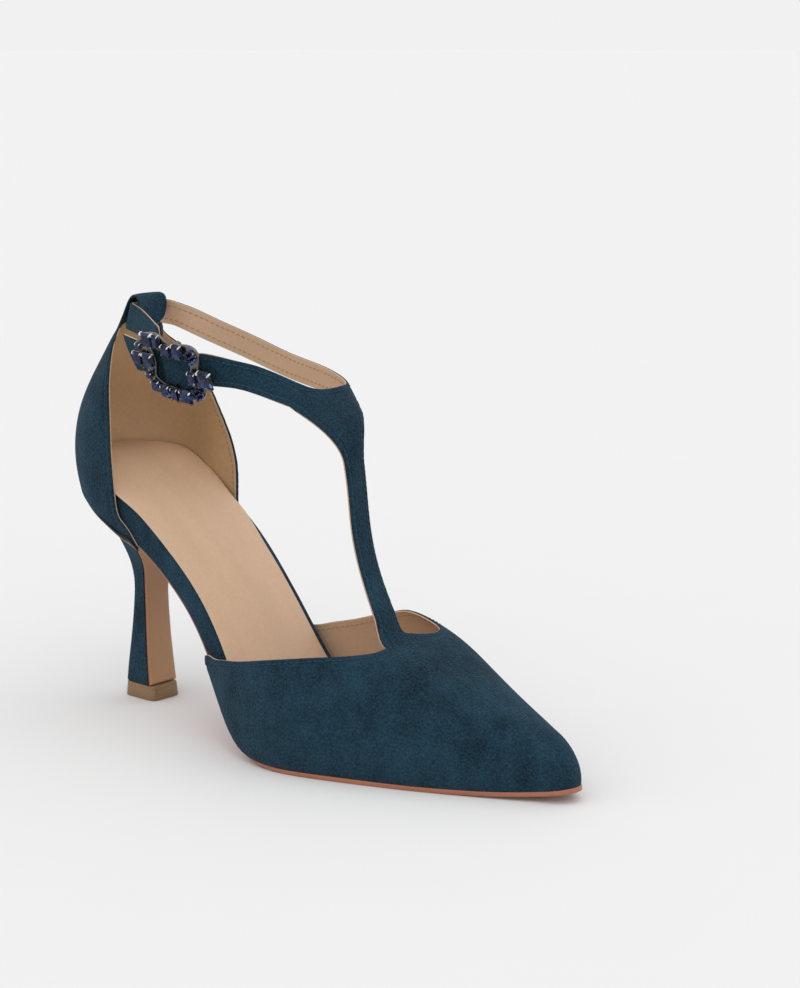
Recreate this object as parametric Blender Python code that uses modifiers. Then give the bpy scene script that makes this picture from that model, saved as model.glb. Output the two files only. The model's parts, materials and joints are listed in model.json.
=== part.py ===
"""Pointed toe pump for the right foot, with a T-bar, an ankle strap and a jewelled buckle.

The tables are in millimetres in the frame of the last: x runs from the heel to the toe, y from the
lateral side (minus) to the medial side (plus), z up from the floor. The finished shoe is moved so
that the middle of its box stands on the origin, and it is written in metres.
"""
import math

import bmesh
import bpy
import numpy as np
from mathutils import Matrix

NAME = "pointed_toe_pump"
MM = 0.001
GAP = 0.3

# Wall and layer thicknesses
UPPER_WALL = 1.6
COUNTER_WALL = 1.5
SOLE_THICK = 2.2
SOCK_THICK = 1.2
BREAST_THICK = 1.1
RAND_THICK = 0.9
ELASTIC_THICK = 0.9
PLATE_THICK = 1.4

# Ends of the last, the radii that round them off in plan, and the length over which the toe drops
HEEL_X, HEEL_ROUND = -2.5, 26.0
TOE_X, TOE_ROUND, TOE_DROP = 229.6, 8.0, 12.0

# Heights above the feather line where the metal rand and the counter begin, and the rand's front ends
RAND_LOW, RAND_HIGH = 0.4, 3.0
RAND_ENDS = (43.0, 46.0)
COUNTER_LOW = 3.4

# Top lift: opposite corners in plan, height and radius of its upright edges
LIFT_LOW, LIFT_HIGH = (12.9, -7.45), (30.4, 7.45)
LIFT_TOP, LIFT_ROUND = 6.0, 2.2
# Place of the heel breast along the last, half width of the seat, and trim of the breast cover
BREAST_X, SEAT_HALF, BREAST_TRIM = 38.0, 23.2, 0.3

# Vamp overlap on the insole base, where the vamp begins, and the slack between base and waist edge
BASE_LAP, VAMP_X, BASE_TRIM = 2.4, 78.0, 0.1
# Sock: inset from the edge of the base, and the further inset along the medial waist
SOCK_INSET, SOCK_WAIST = 0.8, 3.0

STRAP_HALF, ELASTIC_HALF = 4.9, 4.4


class Table:
    """Rows of named columns, read between the rows along a natural cubic."""

    def __init__(self, columns, rows):
        self.names = columns.split()
        self.rows = np.array(rows, float)

    def col(self, name):
        """Return one column."""
        return self.rows[:, self.names.index(name)]

    def at(self, name, where):
        """Return a column's value for each value of the first column."""
        return cubic(self.rows[:, 0], self.col(name), where)


def cubic(knots, values, where):
    """Read a natural cubic spline through the knots."""
    count = len(knots)
    step = np.diff(knots)
    rise = np.diff(values) / step
    system = np.eye(count)
    right = np.zeros(count)
    for i in range(1, count - 1):
        system[i, i - 1:i + 2] = step[i - 1], 2 * (step[i - 1] + step[i]), step[i]
        right[i] = 6 * (rise[i] - rise[i - 1])
    bend = np.linalg.solve(system, right)
    where = np.clip(np.asarray(where, float), knots[0], knots[-1])
    i = np.clip(np.searchsorted(knots, where) - 1, 0, count - 2)
    left = knots[i + 1] - where
    past = where - knots[i]
    h = step[i]
    return ((bend[i] * left ** 3 + bend[i + 1] * past ** 3) / (6 * h)
            + (values[i] / h - bend[i] * h / 6) * left
            + (values[i + 1] / h - bend[i + 1] * h / 6) * past)


# Feather line (top of the outsole), plan outline and thickness of the insole base
LAST = Table("x z lateral medial base", (
    (-6, 92.8, -22.4, 22.4, 11.4),
    (8, 86.2, -23.6, 23.6, 10.9),
    (22, 79.0, -24.0, 24.0, 10.3),
    (38, 70.2, -24.0, 24.2, 9.8),
    (54, 59.4, -23.8, 23.8, 9.3),
    (70, 45.2, -24.6, 22.0, 9),
    (84, 29.2, -27.6, 21.6, 8.8),
    (96, 15.4, -32.2, 23.2, 8.2),
    (107, 6.2, -36.2, 26.4, 7),
    (118, 3.0, -38.6, 29.8, 6),
    (128, 2.3, -38.6, 32.4, 5),
    (140, 2.2, -36.0, 34.4, 4.5),
    (158, 2.2, -30.0, 34.6, 4),
    (176, 2.2, -23.2, 31.0, 4),
    (194, 2.5, -15.2, 25.4, 4),
    (210, 3.4, -7.6, 19.4, 4),
    (222, 4.9, -2.2, 14.4, 4),
    (229.6, 6.3, -0.4, 12.4, 4)))

# Vamp sections: height of the ridge, squareness, bulge, drop to the lateral and lift to the medial side,
# lap over the sole edge
VAMP = Table("x ridge square bulge drop lift lap", (
    (78, 66.0, 2.60, 0.6, .05, .05, 2.3),
    (100, 63.0, 2.80, 0.8, .07, .07, 2.0),
    (120, 57.0, 3.00, 1.6, .08, .09, 0.8),
    (135, 52.0, 3.00, 2.2, .09, .11, 0.2),
    (150, 47.2, 3.00, 2.2, .09, .11, 0.0),
    (165, 42.4, 2.80, 2.0, .08, .10, 0.0),
    (180, 36.2, 2.60, 1.8, .06, .07, 0.0),
    (195, 29.4, 2.45, 1.5, .04, .05, 0.0),
    (210, 22.8, 2.30, 1.2, .02, .02, 0.0),
    (221, 17.2, 2.20, 1.0, .00, .00, 0.0),
    (229.6, 12.2, 2.10, 0.8, .00, .00, 0.0)))

# Top edge of the vamp from the lateral rear corner round the throat to the medial rear corner:
# place along the last and section angle in degrees, 0 at the lateral and 180 at the medial sole edge
EDGE = Table("x angle", (
    (82.3, 0.0),
    (82.5, 0.7),
    (88, 5.0),
    (96, 12.9),
    (106, 23.9),
    (118, 34.8),
    (127, 42.5),
    (136, 50.5),
    (145, 59.0),
    (151, 66.5),
    (154.4, 73.0),
    (155.4, 79.0),
    (153.6, 90.6),
    (156.6, 93.4),
    (158.5, 98.2),
    (158.6, 104.0),
    (156.8, 110.0),
    (152.6, 116.0),
    (147, 120.5),
    (140, 125.0),
    (133, 131.5),
    (127, 138.4),
    (118, 146.7),
    (106, 157.3),
    (96, 167.3),
    (88, 174.7),
    (82.5, 178.8),
    (82.3, 180.0)))
# Rows of the table between which the T-bar grows out of the throat, and the points across it
THROAT_ROW, ACROSS = 11, 9

# Counter: front edges of the two wings and the back line, from the seat up to the tab
COUNTER = Table("r lat_x lat_z med_x med_z back_x back_z", (
    (0.00, 45.5, 67.6, 47.5, 66.5, -3.4, 95.0),
    (0.15, 36.5, 76.5, 45.8, 80.0, -5.6, 102.0),
    (0.30, 32.5, 88.0, 44.6, 91.0, -6.2, 109.0),
    (0.50, 31.0, 106.0, 40.2, 104.5, -3.6, 120.0),
    (0.70, 29.0, 125.0, 32.4, 120.0, 3.2, 132.0),
    (0.85, 25.5, 139.0, 25.5, 134.0, 9.8, 142.0),
    (1.00, 20.5, 149.5, 19.0, 148.0, 15.5, 151.5)))

# Girth of the counter by height: half width and depth of the rounded back
GIRTH = Table("z half depth", (
    (60, 25.8, 28),
    (75, 26.4, 28),
    (95, 28.0, 28),
    (115, 27.5, 27),
    (135, 24.5, 25),
    (150, 20.5, 22),
    (162, 19.0, 20)))

# Tab of the counter, folded forward over the ankle strap and down inside it
TAB = Table("step x z half bow", (
    (1, 17.4, 155.2, 9.4, 2.6),
    (2, 18.8, 158.8, 8.2, 2.0),
    (3, 20.2, 161.0, 7.6, 1.8),
    (4, 22.2, 162.0, 7.5, 1.8),
    (5, 24.2, 161.7, 7.5, 1.9),
    (6, 25.4, 160.2, 7.5, 2.0),
    (7, 25.8, 156.8, 7.4, 2.0),
    (8, 25.2, 152.8, 6.8, 1.8),
    (9, 24.8, 150.8, 5.2, 1.2),
    (10, 24.6, 149.6, 2.8, 0.5)))

# Ankle strap: middle of its outer face from the free end round the front and back to the elastic
RING = Table("step x y z lean", (
    (0, 47.0, -33.6, 145.2, -.20),
    (1, 61.0, -35.4, 143.6, -.36),
    (2, 75.0, -34.8, 141.8, -.40),
    (3, 90.0, -30.8, 140.8, -.16),
    (4, 103.0, -23.6, 138.4, .22),
    (5, 113.2, -12.0, 132.2, .48),
    (6, 117.8, -1.0, 129.6, .58),
    (7, 117.2, 11.2, 129.6, .62),
    (8, 109.4, 22.0, 130.8, .42),
    (9, 92.0, 27.8, 133.1, .12),
    (10, 72.0, 29.5, 135.2, .10),
    (11, 54.0, 26.5, 141.0, .12),
    (12, 39.0, 20.0, 147.3, .20),
    (13, 30.2, 13.2, 152.4, .26),
    (14, 22.6, 9.2, 154.3, .22),
    (15, 20.7, 0.0, 154.2, .20),
    (16, 22.6, -9.2, 154.2, .22),
    (17, 31.0, -12.8, 153.6, .26),
    (18, 48.2, -20.8, 149.8, .10)))
RING_END = 18
# Slanted cut of the free end: row of the strap, point across it, and how far that point is drawn in
SLANT = ((0, 0, 7.0), (0, 1, 2.6), (1, 0, 4.0), (1, 1, 1.4), (2, 0, 1.6))
# Steps of the strap between which the T-bar joins it, and the run of the fillets at both sides
YOKE, YOKE_FILLET = (4.95, 7.45), (5.0, 9.0)

# T-bar between the throat and the yoke, the heights of its straight run, and its bow across
TBAR = Table("z x y half", (
    (55, 148.2, -1.6, 5.4),
    (68, 141.2, -0.8, 5.0),
    (84, 135.6, 0.1, 5.0),
    (100, 132.4, 1.3, 5.0),
    (110, 130.0, 2.2, 5.3)))
TBAR_LOW, TBAR_HIGH, TBAR_BOW = 55.0, 108.0, 0.012

# Heel: back and breast points of each section, half width and squareness, from the lift to the seat
HEEL = Table("step back_x back_z front_x front_z half square", (
    (0, 12.4, 6.3, 27.0, 6.3, 7.3, 5.0),
    (1, 13.2, 14.0, 26.2, 14.0, 7.0, 4.6),
    (2, 15.0, 27.0, 25.2, 27.0, 6.5, 4.0),
    (3, 16.3, 40.0, 24.7, 40.0, 6.2, 3.4),
    (4, 16.2, 49.0, 24.8, 47.0, 6.4, 3.0),
    (5, 14.0, 57.0, 26.0, 52.8, 7.6, 2.8),
    (6, 10.2, 65.0, 28.2, 57.4, 10.4, 2.6),
    (7, 5.6, 74.0, 31.0, 61.6, 14.4, 2.5),
    (8, 1.2, 83.0, 34.2, 65.6, 19.2, 2.4)))

# Stones on the buckle: place along and across the strap, and size along and across
STONES = Table("n along across size_a size_b", (
    (0, -7.7, 11.5, 4.7, 5.4),
    (1, -3.7, 11.2, 2.7, 5.6),
    (2, 0.1, 8.5, 4.6, 4.8),
    (3, 5.3, 8.9, 4.6, 6.2),
    (4, -7.7, -7.7, 3.7, 4.5),
    (5, -3.6, -9.3, 4.0, 5.2),
    (6, 0.5, -10.0, 2.8, 5.0),
    (7, 5.7, -9.9, 5.4, 5.6),
    (8, -9.1, 2.4, 4.8, 6.4),
    (9, -13.6, 2.8, 3.8, 5.2),
    (10, 10.2, -1.4, 3.8, 5.8),
    (11, 15.9, -0.9, 6.2, 7.2),
    (12, 11.4, 8.0, 4.2, 4.2),
    (13, 11.6, -7.7, 3.8, 3.8),
    (14, -12.3, 8.2, 2.8, 2.8),
    (15, -9.8, -3.7, 2.8, 2.8)))
BUCKLE_STEP = 2.0
# Plate: half sizes of the frame and of its window, corner cut, reach of the two lobes and their half height
PLATE_HALF, PLATE_WINDOW, PLATE_CORNER = (13.2, 13.0), (6.2, 5.3), 4.6
PLATE_LOBES, LOBE_HALF, LOBE_CUT = (18.2, 15.6), 3.4, 2.0
# Stones: growth of the height with the smaller side, width over the flats and shrink of the table
STONE_BASE, STONE_GROWTH, STONE_WIDE, STONE_TABLE = 1.9, 0.12, 1.06, 0.66
BAR_DEPTH, BAR_HALF, BAR_RADIUS = -5.2, 7.8, 0.8

COLOURS = {
    "suede": (0.020, 0.055, 0.085),
    "sock": (0.55, 0.36, 0.25),
    "sole": (0.42, 0.20, 0.13),
    "breast": (0.47, 0.30, 0.19),
    "lift": (0.22, 0.13, 0.07),
    "gunmetal": (0.22, 0.22, 0.23),
    "elastic": (0.010, 0.015, 0.045),
    "stone": (0.03, 0.06, 0.22),
}


# Sole line and outlines
def feather(x):
    """Return the height of the feather line, flat where the forefoot stands."""
    return np.maximum(LAST.at("z", x), SOLE_THICK)


def slope(x):
    """Return the slope of the feather line."""
    x = np.asarray(x, float)
    return (feather(x + 0.05) - feather(x - 0.05)) / 0.1


def layer(x, rise):
    """Move points of the feather line along its normal, and return their x and z."""
    run = slope(x)
    length = np.sqrt(1 + run * run)
    return x - rise * run / length, feather(x) + rise / length


def outline(x):
    """Return the middle and the half width of the sole in plan."""
    lateral, medial = LAST.at("lateral", x), LAST.at("medial", x)
    heel = np.clip((HEEL_X + HEEL_ROUND - x) / HEEL_ROUND, 0, 1)
    toe = np.clip((x - TOE_X + TOE_ROUND) / TOE_ROUND, 0, 1)
    round_off = np.sqrt((1 - heel ** 2) * (1 - toe ** 2))
    return (lateral + medial) / 2, (medial - lateral) / 2 * round_off


def eased(first, last, count):
    """Space stations closer together towards both ends."""
    return first + (last - first) * (1 - np.cos(np.linspace(0, np.pi, count))) / 2


# Mesh building
def finish(name, verts, faces, slot):
    """Make a mesh object in the part's collection from points in millimetres."""
    mesh = bpy.data.meshes.new(name)
    mesh.from_pydata((np.asarray(verts, float) * MM).tolist(), [], [tuple(map(int, f)) for f in faces])
    mesh.validate()
    return settle(name, mesh, slot)


def settle(name, mesh, slot, crease=40.0):
    """Shade a mesh smooth up to the crease angle, dress it and link it as an object of the part."""
    mesh.shade_smooth()
    mesh.set_sharp_from_angle(angle=math.radians(crease))
    mesh.materials.clear()
    mesh.materials.append(material(slot))
    obj = bpy.data.objects.new(name, mesh)
    bpy.data.collections[NAME].objects.link(obj)
    return obj


def material(slot):
    """Return the material of a slot, made once."""
    if slot in bpy.data.materials:
        return bpy.data.materials[slot]
    mat = bpy.data.materials.new(slot)
    mat.use_nodes = True
    shader = mat.node_tree.nodes["Principled BSDF"]
    shader.inputs["Base Color"].default_value = (*COLOURS[slot], 1)
    shader.inputs["Roughness"].default_value = 0.15 if slot in ("gunmetal", "stone") else 0.7
    shader.inputs["Metallic"].default_value = 1.0 if slot == "gunmetal" else 0.0
    return mat


def quads(rows, cols, first=0):
    """Return the faces of a grid of points, wound so that rows x columns gives the outer side."""
    i, j = np.meshgrid(np.arange(rows - 1), np.arange(cols - 1), indexing="ij")
    a = first + i * cols + j
    return np.stack([a, a + cols, a + cols + 1, a + 1], -1).reshape(-1, 4).tolist()


def sheet(name, grid, slot, thick):
    """Make a grid of points into a sheet that is thickened away from its outer side."""
    rows, cols = grid.shape[:2]
    obj = finish(name, grid.reshape(-1, 3), quads(rows, cols), slot)
    thicken(obj, thick)
    return obj


def thicken(obj, thick):
    """Give an open surface its wall, inward from the outer side."""
    mod = obj.modifiers.new("wall", "SOLIDIFY")
    mod.thickness = thick * MM
    mod.offset = -1.0
    mod.use_even_offset = True
    mod.use_quality_normals = True


def loft(name, rings, slot):
    """Skin closed rings of equal count and close both ends across the ring."""
    count, around = rings.shape[:2]
    faces = []
    for i in range(count - 1):
        for j in range(around):
            k = (j + 1) % around
            faces.append((i * around + j, i * around + k, (i + 1) * around + k, (i + 1) * around + j))
    last = (count - 1) * around
    for j in range((around - 1) // 2):
        strip = list(dict.fromkeys((j, around - 1 - j, around - 2 - j, j + 1)))
        faces.append(strip)
        faces.append([last + k for k in strip[::-1]])
    return finish(name, rings.reshape(-1, 3), faces, slot)


# Sole
def make_outsole():
    """Lay the outsole from the heel breast to the toe, flat across, below the feather line."""
    x = np.concatenate([np.linspace(BREAST_X + 0.8, 205, 36), eased(208, 2 * TOE_X - 208.5, 25)[:13]])
    middle, half = outline(x)
    waist = np.clip((96 - x) / 20, 0, 1)
    half = np.maximum(half + 0.2 + 0.3 * np.maximum(VAMP.at("lap", x), 0) * (1 - waist) - 1.2 * waist, 1.2)
    sx, sz = layer(x, 0.0)
    across = np.linspace(1, -1, 3)
    grid = np.stack([np.repeat(sx[:, None], 3, 1), middle[:, None] - half[:, None] * across,
                     np.repeat(sz[:, None], 3, 1)], -1)
    return sheet("outsole", grid, "sole", SOLE_THICK)


def base_half(x):
    """Return the half width of the insole base: full at the waist, inside the wall under the vamp."""
    _, half = outline(x)
    inset = np.clip(BASE_LAP - VAMP.at("lap", np.maximum(x, VAMP_X)), BASE_TRIM, BASE_LAP)
    return half - np.where(x < VAMP_X, BASE_TRIM, inset)


def make_insole_base():
    """Loft the board that carries the foot, wrapped in suede where it shows at the waist."""
    x = np.concatenate([HEEL_X + 24 * (1 - np.cos(np.linspace(0.09, np.pi / 2, 12))),
                        np.linspace(25, TOE_X - 4.6, 44)])
    middle, _ = outline(x)
    half = base_half(x)
    high = LAST.at("base", x)
    edge = np.minimum(1.2, half * 0.4)
    ring = []
    for side in (-1, 1):
        corner = [(half - 0.7 * edge, GAP + 0 * x), (half, GAP + 1.0 + 0 * x), (half, high - 1.4),
                  (half - edge, high)]
        for wide, rise in corner[::-side]:
            px, pz = layer(x, rise)
            ring.append(np.stack([px, middle + side * wide, pz], -1))
    return loft("insole_base", np.stack(ring, 1)[:, ::-1], "suede")


def make_sock():
    """Lay the sock lining on the base, a little inside its edge."""
    x = np.concatenate([HEEL_X + 2.2 + 24 * (1 - np.cos(np.linspace(0.16, np.pi / 2, 12))),
                        np.linspace(28, TOE_X - 8, 40)])
    middle, _ = outline(x)
    waist = np.clip(1 - np.abs(x - 68) / 22, 0, 1)
    medial = SOCK_WAIST * np.clip(np.minimum((x - 44) / 16, (140 - x) / 20), 0, 1)
    heel = np.sqrt(np.clip(1 - np.clip((21 - x) / 22.5, 0, 1) ** 2, 0.01, 1))
    inside = base_half(np.maximum(x, 0.1)) - SOCK_INSET
    half = np.where(x < 21, np.minimum(base_half(x) * heel, inside), inside) - waist
    sx, sz = layer(x, LAST.at("base", x) + GAP + SOCK_THICK)
    across = np.linspace(1, -1, 3)
    y = middle[:, None] + half[:, None] * across - medial[:, None] * np.maximum(across, 0)
    grid = np.stack([np.repeat(sx[:, None], 3, 1), y, np.repeat(sz[:, None], 3, 1)], -1)
    return sheet("sock", grid[:, ::-1], "sock", SOCK_THICK)


# Heel
def heel_ring(back_x, back_z, front_x, front_z, half, square, count=25):
    """Return one heel section: flat at the breast, rounded at the back, tilted between two points."""
    angle = np.linspace(0, np.pi, count)
    reach = np.abs(np.sin(angle)) ** (2 / square)
    y = -half * np.sign(np.cos(angle)) * np.abs(np.cos(angle)) ** (2 / square)
    x = front_x - (front_x - back_x) * reach
    z = front_z + (back_z - front_z) * (front_x - x) / (front_x - back_x)
    return np.stack([x, y, z], -1)


def make_heel():
    """Loft the heel from the top lift up to the seat, where its last section follows the sole line."""
    rings = []
    for step in np.linspace(0, 8, 21):
        rings.append(heel_ring(*(float(HEEL.at(c, step)) for c in HEEL.names[1:])))
    seat = heel_ring(HEEL_X + 0.2, 0, BREAST_X, 0, SEAT_HALF, 2.3)
    _, half = outline(seat[:, 0])
    seat[:, 1] = np.sign(seat[:, 1]) * np.minimum(np.abs(seat[:, 1]), np.maximum(half - 0.4, 0))
    sx, sz = layer(seat[:, 0], -GAP)
    seat[:, 0], seat[:, 2] = sx, sz
    rings.append(seat)
    return loft("heel", np.stack(rings)[:, ::-1], "suede")


def make_heel_breast():
    """Cover the front face of the heel down from the end of the outsole."""
    step = np.linspace(0, 8, 17)
    front = np.stack([HEEL.at("front_x", step), HEEL.at("front_z", step), HEEL.at("half", step)], -1)
    seat = np.array([*layer(np.array(BREAST_X), -GAP), SEAT_HALF])
    front = np.concatenate([front, [front[-1] + (seat - front[-1]) * 0.6]])
    run = np.gradient(front[:, :2], axis=0)
    run /= np.linalg.norm(run, axis=1)[:, None]
    x = front[:, 0] + run[:, 1] * (GAP + BREAST_THICK)
    z = front[:, 1] - run[:, 0] * (GAP + BREAST_THICK)
    across = np.linspace(-1, 1, 3)
    grid = np.stack([np.repeat(x[:, None], 3, 1), (front[:, 2:] - BREAST_TRIM) * across,
                     np.repeat(z[:, None], 3, 1)], -1)
    return sheet("heel_breast", grid.transpose(1, 0, 2), "breast", BREAST_THICK)


def make_top_lift():
    """Make the top lift that the heel stands on: a block with rounded upright edges."""
    bm = bmesh.new()
    bmesh.ops.create_cube(bm, size=1.0)
    low, high = (*LIFT_LOW, 0.0), (*LIFT_HIGH, LIFT_TOP)
    for vert in bm.verts:
        vert.co = [(low[i] + (high[i] - low[i]) * (vert.co[i] + 0.5)) * MM for i in range(3)]
    upright = [e for e in bm.edges if abs(e.verts[0].co.z - e.verts[1].co.z) > 0.001]
    bmesh.ops.bevel(bm, geom=upright, offset=LIFT_ROUND * MM, segments=4, profile=0.5, affect="EDGES")
    mesh = bpy.data.meshes.new("top_lift")
    bm.to_mesh(mesh)
    bm.free()
    return settle("top_lift", mesh, "lift")


def seat_path(front_lateral, front_medial, count):
    """Walk the seat outline from the lateral wing round the back to the medial wing."""
    turn = np.linspace(0, np.pi / 2, count // 3)
    back = HEEL_X + HEEL_ROUND * (1 - np.cos(turn[::-1]))
    lateral = np.concatenate([np.linspace(front_lateral, HEEL_X + HEEL_ROUND, count // 5)[:-1], back])
    medial = np.concatenate([np.linspace(front_medial, HEEL_X + HEEL_ROUND, count // 5)[:-1], back])
    x = np.concatenate([lateral, medial[::-1][1:]])
    side = np.concatenate([-np.ones(len(lateral)), np.ones(len(medial) - 1)])
    middle, half = outline(x)
    return np.stack([x, middle + side * half], -1)


def make_heel_rand():
    """Bend the metal rand round the seat below the counter, thinning to a point at both ends."""
    path = seat_path(*RAND_ENDS, 45)
    tangent = np.gradient(path, axis=0)
    tangent /= np.linalg.norm(tangent, axis=1)[:, None]
    out = np.stack([-tangent[:, 1], tangent[:, 0]], -1)
    out *= np.sign(np.sum(out * (path - np.array([20.0, 0.0])), 1))[:, None]
    reach = GAP + 0.1 + RAND_THICK
    share = np.linspace(0, 1, len(path))
    taper = np.clip(np.minimum(share, 1 - share) / 0.12, 0.25, 1)
    grid = []
    for rise in (0.0, 1.0):
        lift = RAND_LOW + (RAND_HIGH - RAND_LOW) * (1 - taper + taper * rise)
        px, pz = layer(path[:, 0], lift)
        grid.append(np.stack([px + out[:, 0] * reach, path[:, 1] + out[:, 1] * reach, pz], -1))
    return sheet("heel_rand", np.stack(grid, 1), "gunmetal", RAND_THICK)


# Counter
def counter_point(r, q):
    """Return the outer face of the counter; r climbs from seat to tab, q runs lateral to medial."""
    edge_x = np.where(q < 0, COUNTER.at("lat_x", r), COUNTER.at("med_x", r))
    edge_z = np.where(q < 0, COUNTER.at("lat_z", r), COUNTER.at("med_z", r))
    back_x, back_z = COUNTER.at("back_x", r), COUNTER.at("back_z", r)
    depth = GIRTH.at("depth", edge_z)
    over = np.maximum(edge_x - back_x - depth, 0)
    quarter = np.arccos(np.clip(1 - (edge_x - back_x) / depth, -1, 1))
    turn = np.abs(q) * np.where(over > 0, np.pi / 2 + over / depth, quarter)
    curl = np.minimum(turn, np.pi / 2)
    x = back_x + depth * (1 - np.cos(curl)) + depth * np.maximum(turn - np.pi / 2, 0)
    share = np.clip((x - back_x) / (edge_x - back_x), 0, 1)
    z = back_z + (edge_z - back_z) * share
    seat = feather(x) + COUNTER_LOW * np.sqrt(1 + slope(x) ** 2)
    lateral_z, medial_z, foot_z = (COUNTER.col(c)[0] for c in ("lat_z", "med_z", "back_z"))
    foot_line = foot_z + (np.where(q < 0, lateral_z, medial_z) - foot_z) * share
    z = z + (1 - r) ** 4 * (seat - foot_line)
    y = np.sign(q) * GIRTH.at("half", z) * np.sin(curl)
    return np.stack([x, y, z], -1)


def make_counter():
    """Shape the counter with its two wings and fold its tab over the ankle strap."""
    q = np.linspace(-1, 1, 21)
    rows = [counter_point(np.full_like(q, r), q) for r in np.linspace(0, 1, 12) ** 1.15]
    for step in np.linspace(1, 10, 13):
        x, z, half, bow = (float(TAB.at(c, step)) for c in ("x", "z", "half", "bow"))
        rows.append(np.stack([x + bow * q ** 2, half * q, np.full_like(q, z)], -1))
    return sheet("counter", np.stack(rows, 1)[::-1], "suede", COUNTER_WALL)


# Upper
def vamp_point(x, angle):
    """Return the outer face of the vamp; angle 0 is the lateral sole edge and pi the medial one."""
    ridge, square = VAMP.at("ridge", x), VAMP.at("square", x)
    ridge = ridge * np.sqrt(1 - np.clip((x - TOE_X + TOE_DROP) / TOE_DROP, 0, 1) ** 2)
    middle, half = outline(x)
    rise = ridge * np.abs(np.sin(angle)) ** (2 / square)
    swell = VAMP.at("lap", x) + VAMP.at("bulge", x) * (1 - np.exp(-rise / 4))
    half = half + swell * np.minimum(half / 6, 1)
    y = middle - half * np.sign(np.cos(angle)) * np.abs(np.cos(angle)) ** (2 / square)
    side = (y - middle) / np.maximum(half, 1)
    rise = rise * (1 + np.where(side < 0, VAMP.at("drop", x), VAMP.at("lift", x)) * side)
    return np.stack([x, y, feather(x) + GAP + rise], -1)


def ring_frame(step):
    """Return place, direction and upward axis of the strap's outer face."""
    step = np.asarray(step, float)
    place = np.stack([RING.at(c, step) for c in "xyz"], -1)
    ahead = np.stack([RING.at(c, np.minimum(step + 0.01, RING_END)) for c in "xyz"], -1)
    behind = np.stack([RING.at(c, np.maximum(step - 0.01, 0)) for c in "xyz"], -1)
    along = ahead - behind
    along /= np.linalg.norm(along, axis=-1)[..., None]
    out = np.stack([along[..., 1], -along[..., 0], 0 * step], -1)
    out /= np.linalg.norm(out, axis=-1)[..., None]
    up = np.cross(out, along) - RING.at("lean", step)[..., None] * out
    up -= along * np.sum(up * along, -1)[..., None]
    up /= np.linalg.norm(up, axis=-1)[..., None]
    return place, along, up


def bezier(start, leave, arrive, end, share):
    """Blend two rows of points along cubic curves with the given handles."""
    s = share
    return ((1 - s) ** 3 * start + 3 * s * (1 - s) ** 2 * leave
            + 3 * s ** 2 * (1 - s) * arrive + s ** 3 * end)


def tbar_row(z, spread):
    """Return a row of points across the T-bar."""
    x, y, half = (float(TBAR.at(c, z)) for c in ("x", "y", "half"))
    return np.stack([x - TBAR_BOW * (half * spread) ** 2, y + half * spread, np.full_like(spread, z)], -1)


def make_upper():
    """Join the vamp, the T-bar, the yoke and the ankle strap as one hollow skin."""
    spread = np.linspace(-1, 1, ACROSS)
    throat = np.linspace(EDGE.rows[THROAT_ROW], EDGE.rows[THROAT_ROW + 1], ACROSS)
    edge = np.concatenate([EDGE.rows[:THROAT_ROW], throat, EDGE.rows[THROAT_ROW + 2:]])
    tops, angles = edge[:, 0], np.radians(edge[:, 1])
    columns, count = len(edge), 18
    share = 1 - (1 - np.linspace(0, 1, count)) ** 1.7
    rows = [vamp_point(tops + (TOE_X - 0.35 - tops) * s, angles) for s in share]
    verts = np.stack(rows, 1).reshape(-1, 3)
    faces = [face[::-1] for face in quads(columns, count)]
    for near in range((columns - 1) // 2):
        far = columns - 1 - near
        faces.append(list(dict.fromkeys(k * count + count - 1 for k in (far, far - 1, near + 1, near))))
    throat_ids = [(THROAT_ROW + c) * count for c in range(ACROSS)]

    free, rear = np.linspace(0, YOKE[0] - 0.25, 17), np.linspace(YOKE[1] + 0.2, RING_END, 42)
    steps = np.concatenate([free, np.linspace(*YOKE, ACROSS), rear])
    place, along, up = ring_frame(steps)
    strap = np.stack([place + up * STRAP_HALF * k for k in (-1, 0, 1)], 1)
    for row, point, drawn in SLANT:
        strap[row, point] += along[row] * drawn
    base = len(verts)
    faces += quads(len(steps), 3, base)
    verts = np.concatenate([verts, strap.reshape(-1, 3)])
    yoke_ids = [base + (len(free) + c) * 3 for c in range(ACROSS)]
    along, up = (axis[len(free):len(free) + ACROSS] for axis in (along, up))

    low, high = tbar_row(TBAR_LOW, spread), tbar_row(TBAR_HIGH, spread)
    throat_pts, yoke_pts = verts[throat_ids], verts[yoke_ids]
    ahead = vamp_point(throat[:, 0] + 1.0, np.radians(throat[:, 1])) - throat_pts
    ahead /= np.linalg.norm(ahead, axis=1)[:, None]
    low_up = tbar_row(TBAR_LOW + 1.0, spread) - low
    high_up = high - tbar_row(TBAR_HIGH - 1.0, spread)
    outward = along * np.sign(spread)[:, None] * np.abs(spread)[:, None] ** 0.7
    arrive = (yoke_pts - outward * np.linspace(*YOKE_FILLET, ACROSS)[:, None]
              - up * (1 - np.abs(spread)[:, None]) * 4.0)
    grid = [bezier(throat_pts, throat_pts - ahead * 3.0, low - low_up * 3.5, low, s)
            for s in np.linspace(0, 1, 6)[1:]]
    grid += [tbar_row(z, spread) for z in np.linspace(TBAR_LOW, TBAR_HIGH, 10)[1:]]
    grid += [bezier(high, high + high_up * 10.0, arrive, yoke_pts, s) for s in np.linspace(0, 1, 8)[1:-1]]
    base = len(verts)
    verts = np.concatenate([verts, np.stack(grid).reshape(-1, 3)])
    inner = base + np.arange(len(grid) * ACROSS).reshape(-1, ACROSS)
    ids = np.concatenate([[throat_ids], inner, [yoke_ids]])
    for k in range(len(ids) - 1):
        for c in range(ACROSS - 1):
            faces.append([ids[k, c], ids[k, c + 1], ids[k + 1, c + 1], ids[k + 1, c]])
    obj = finish("upper", verts, faces, "suede")
    thicken(obj, UPPER_WALL)
    return obj


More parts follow.
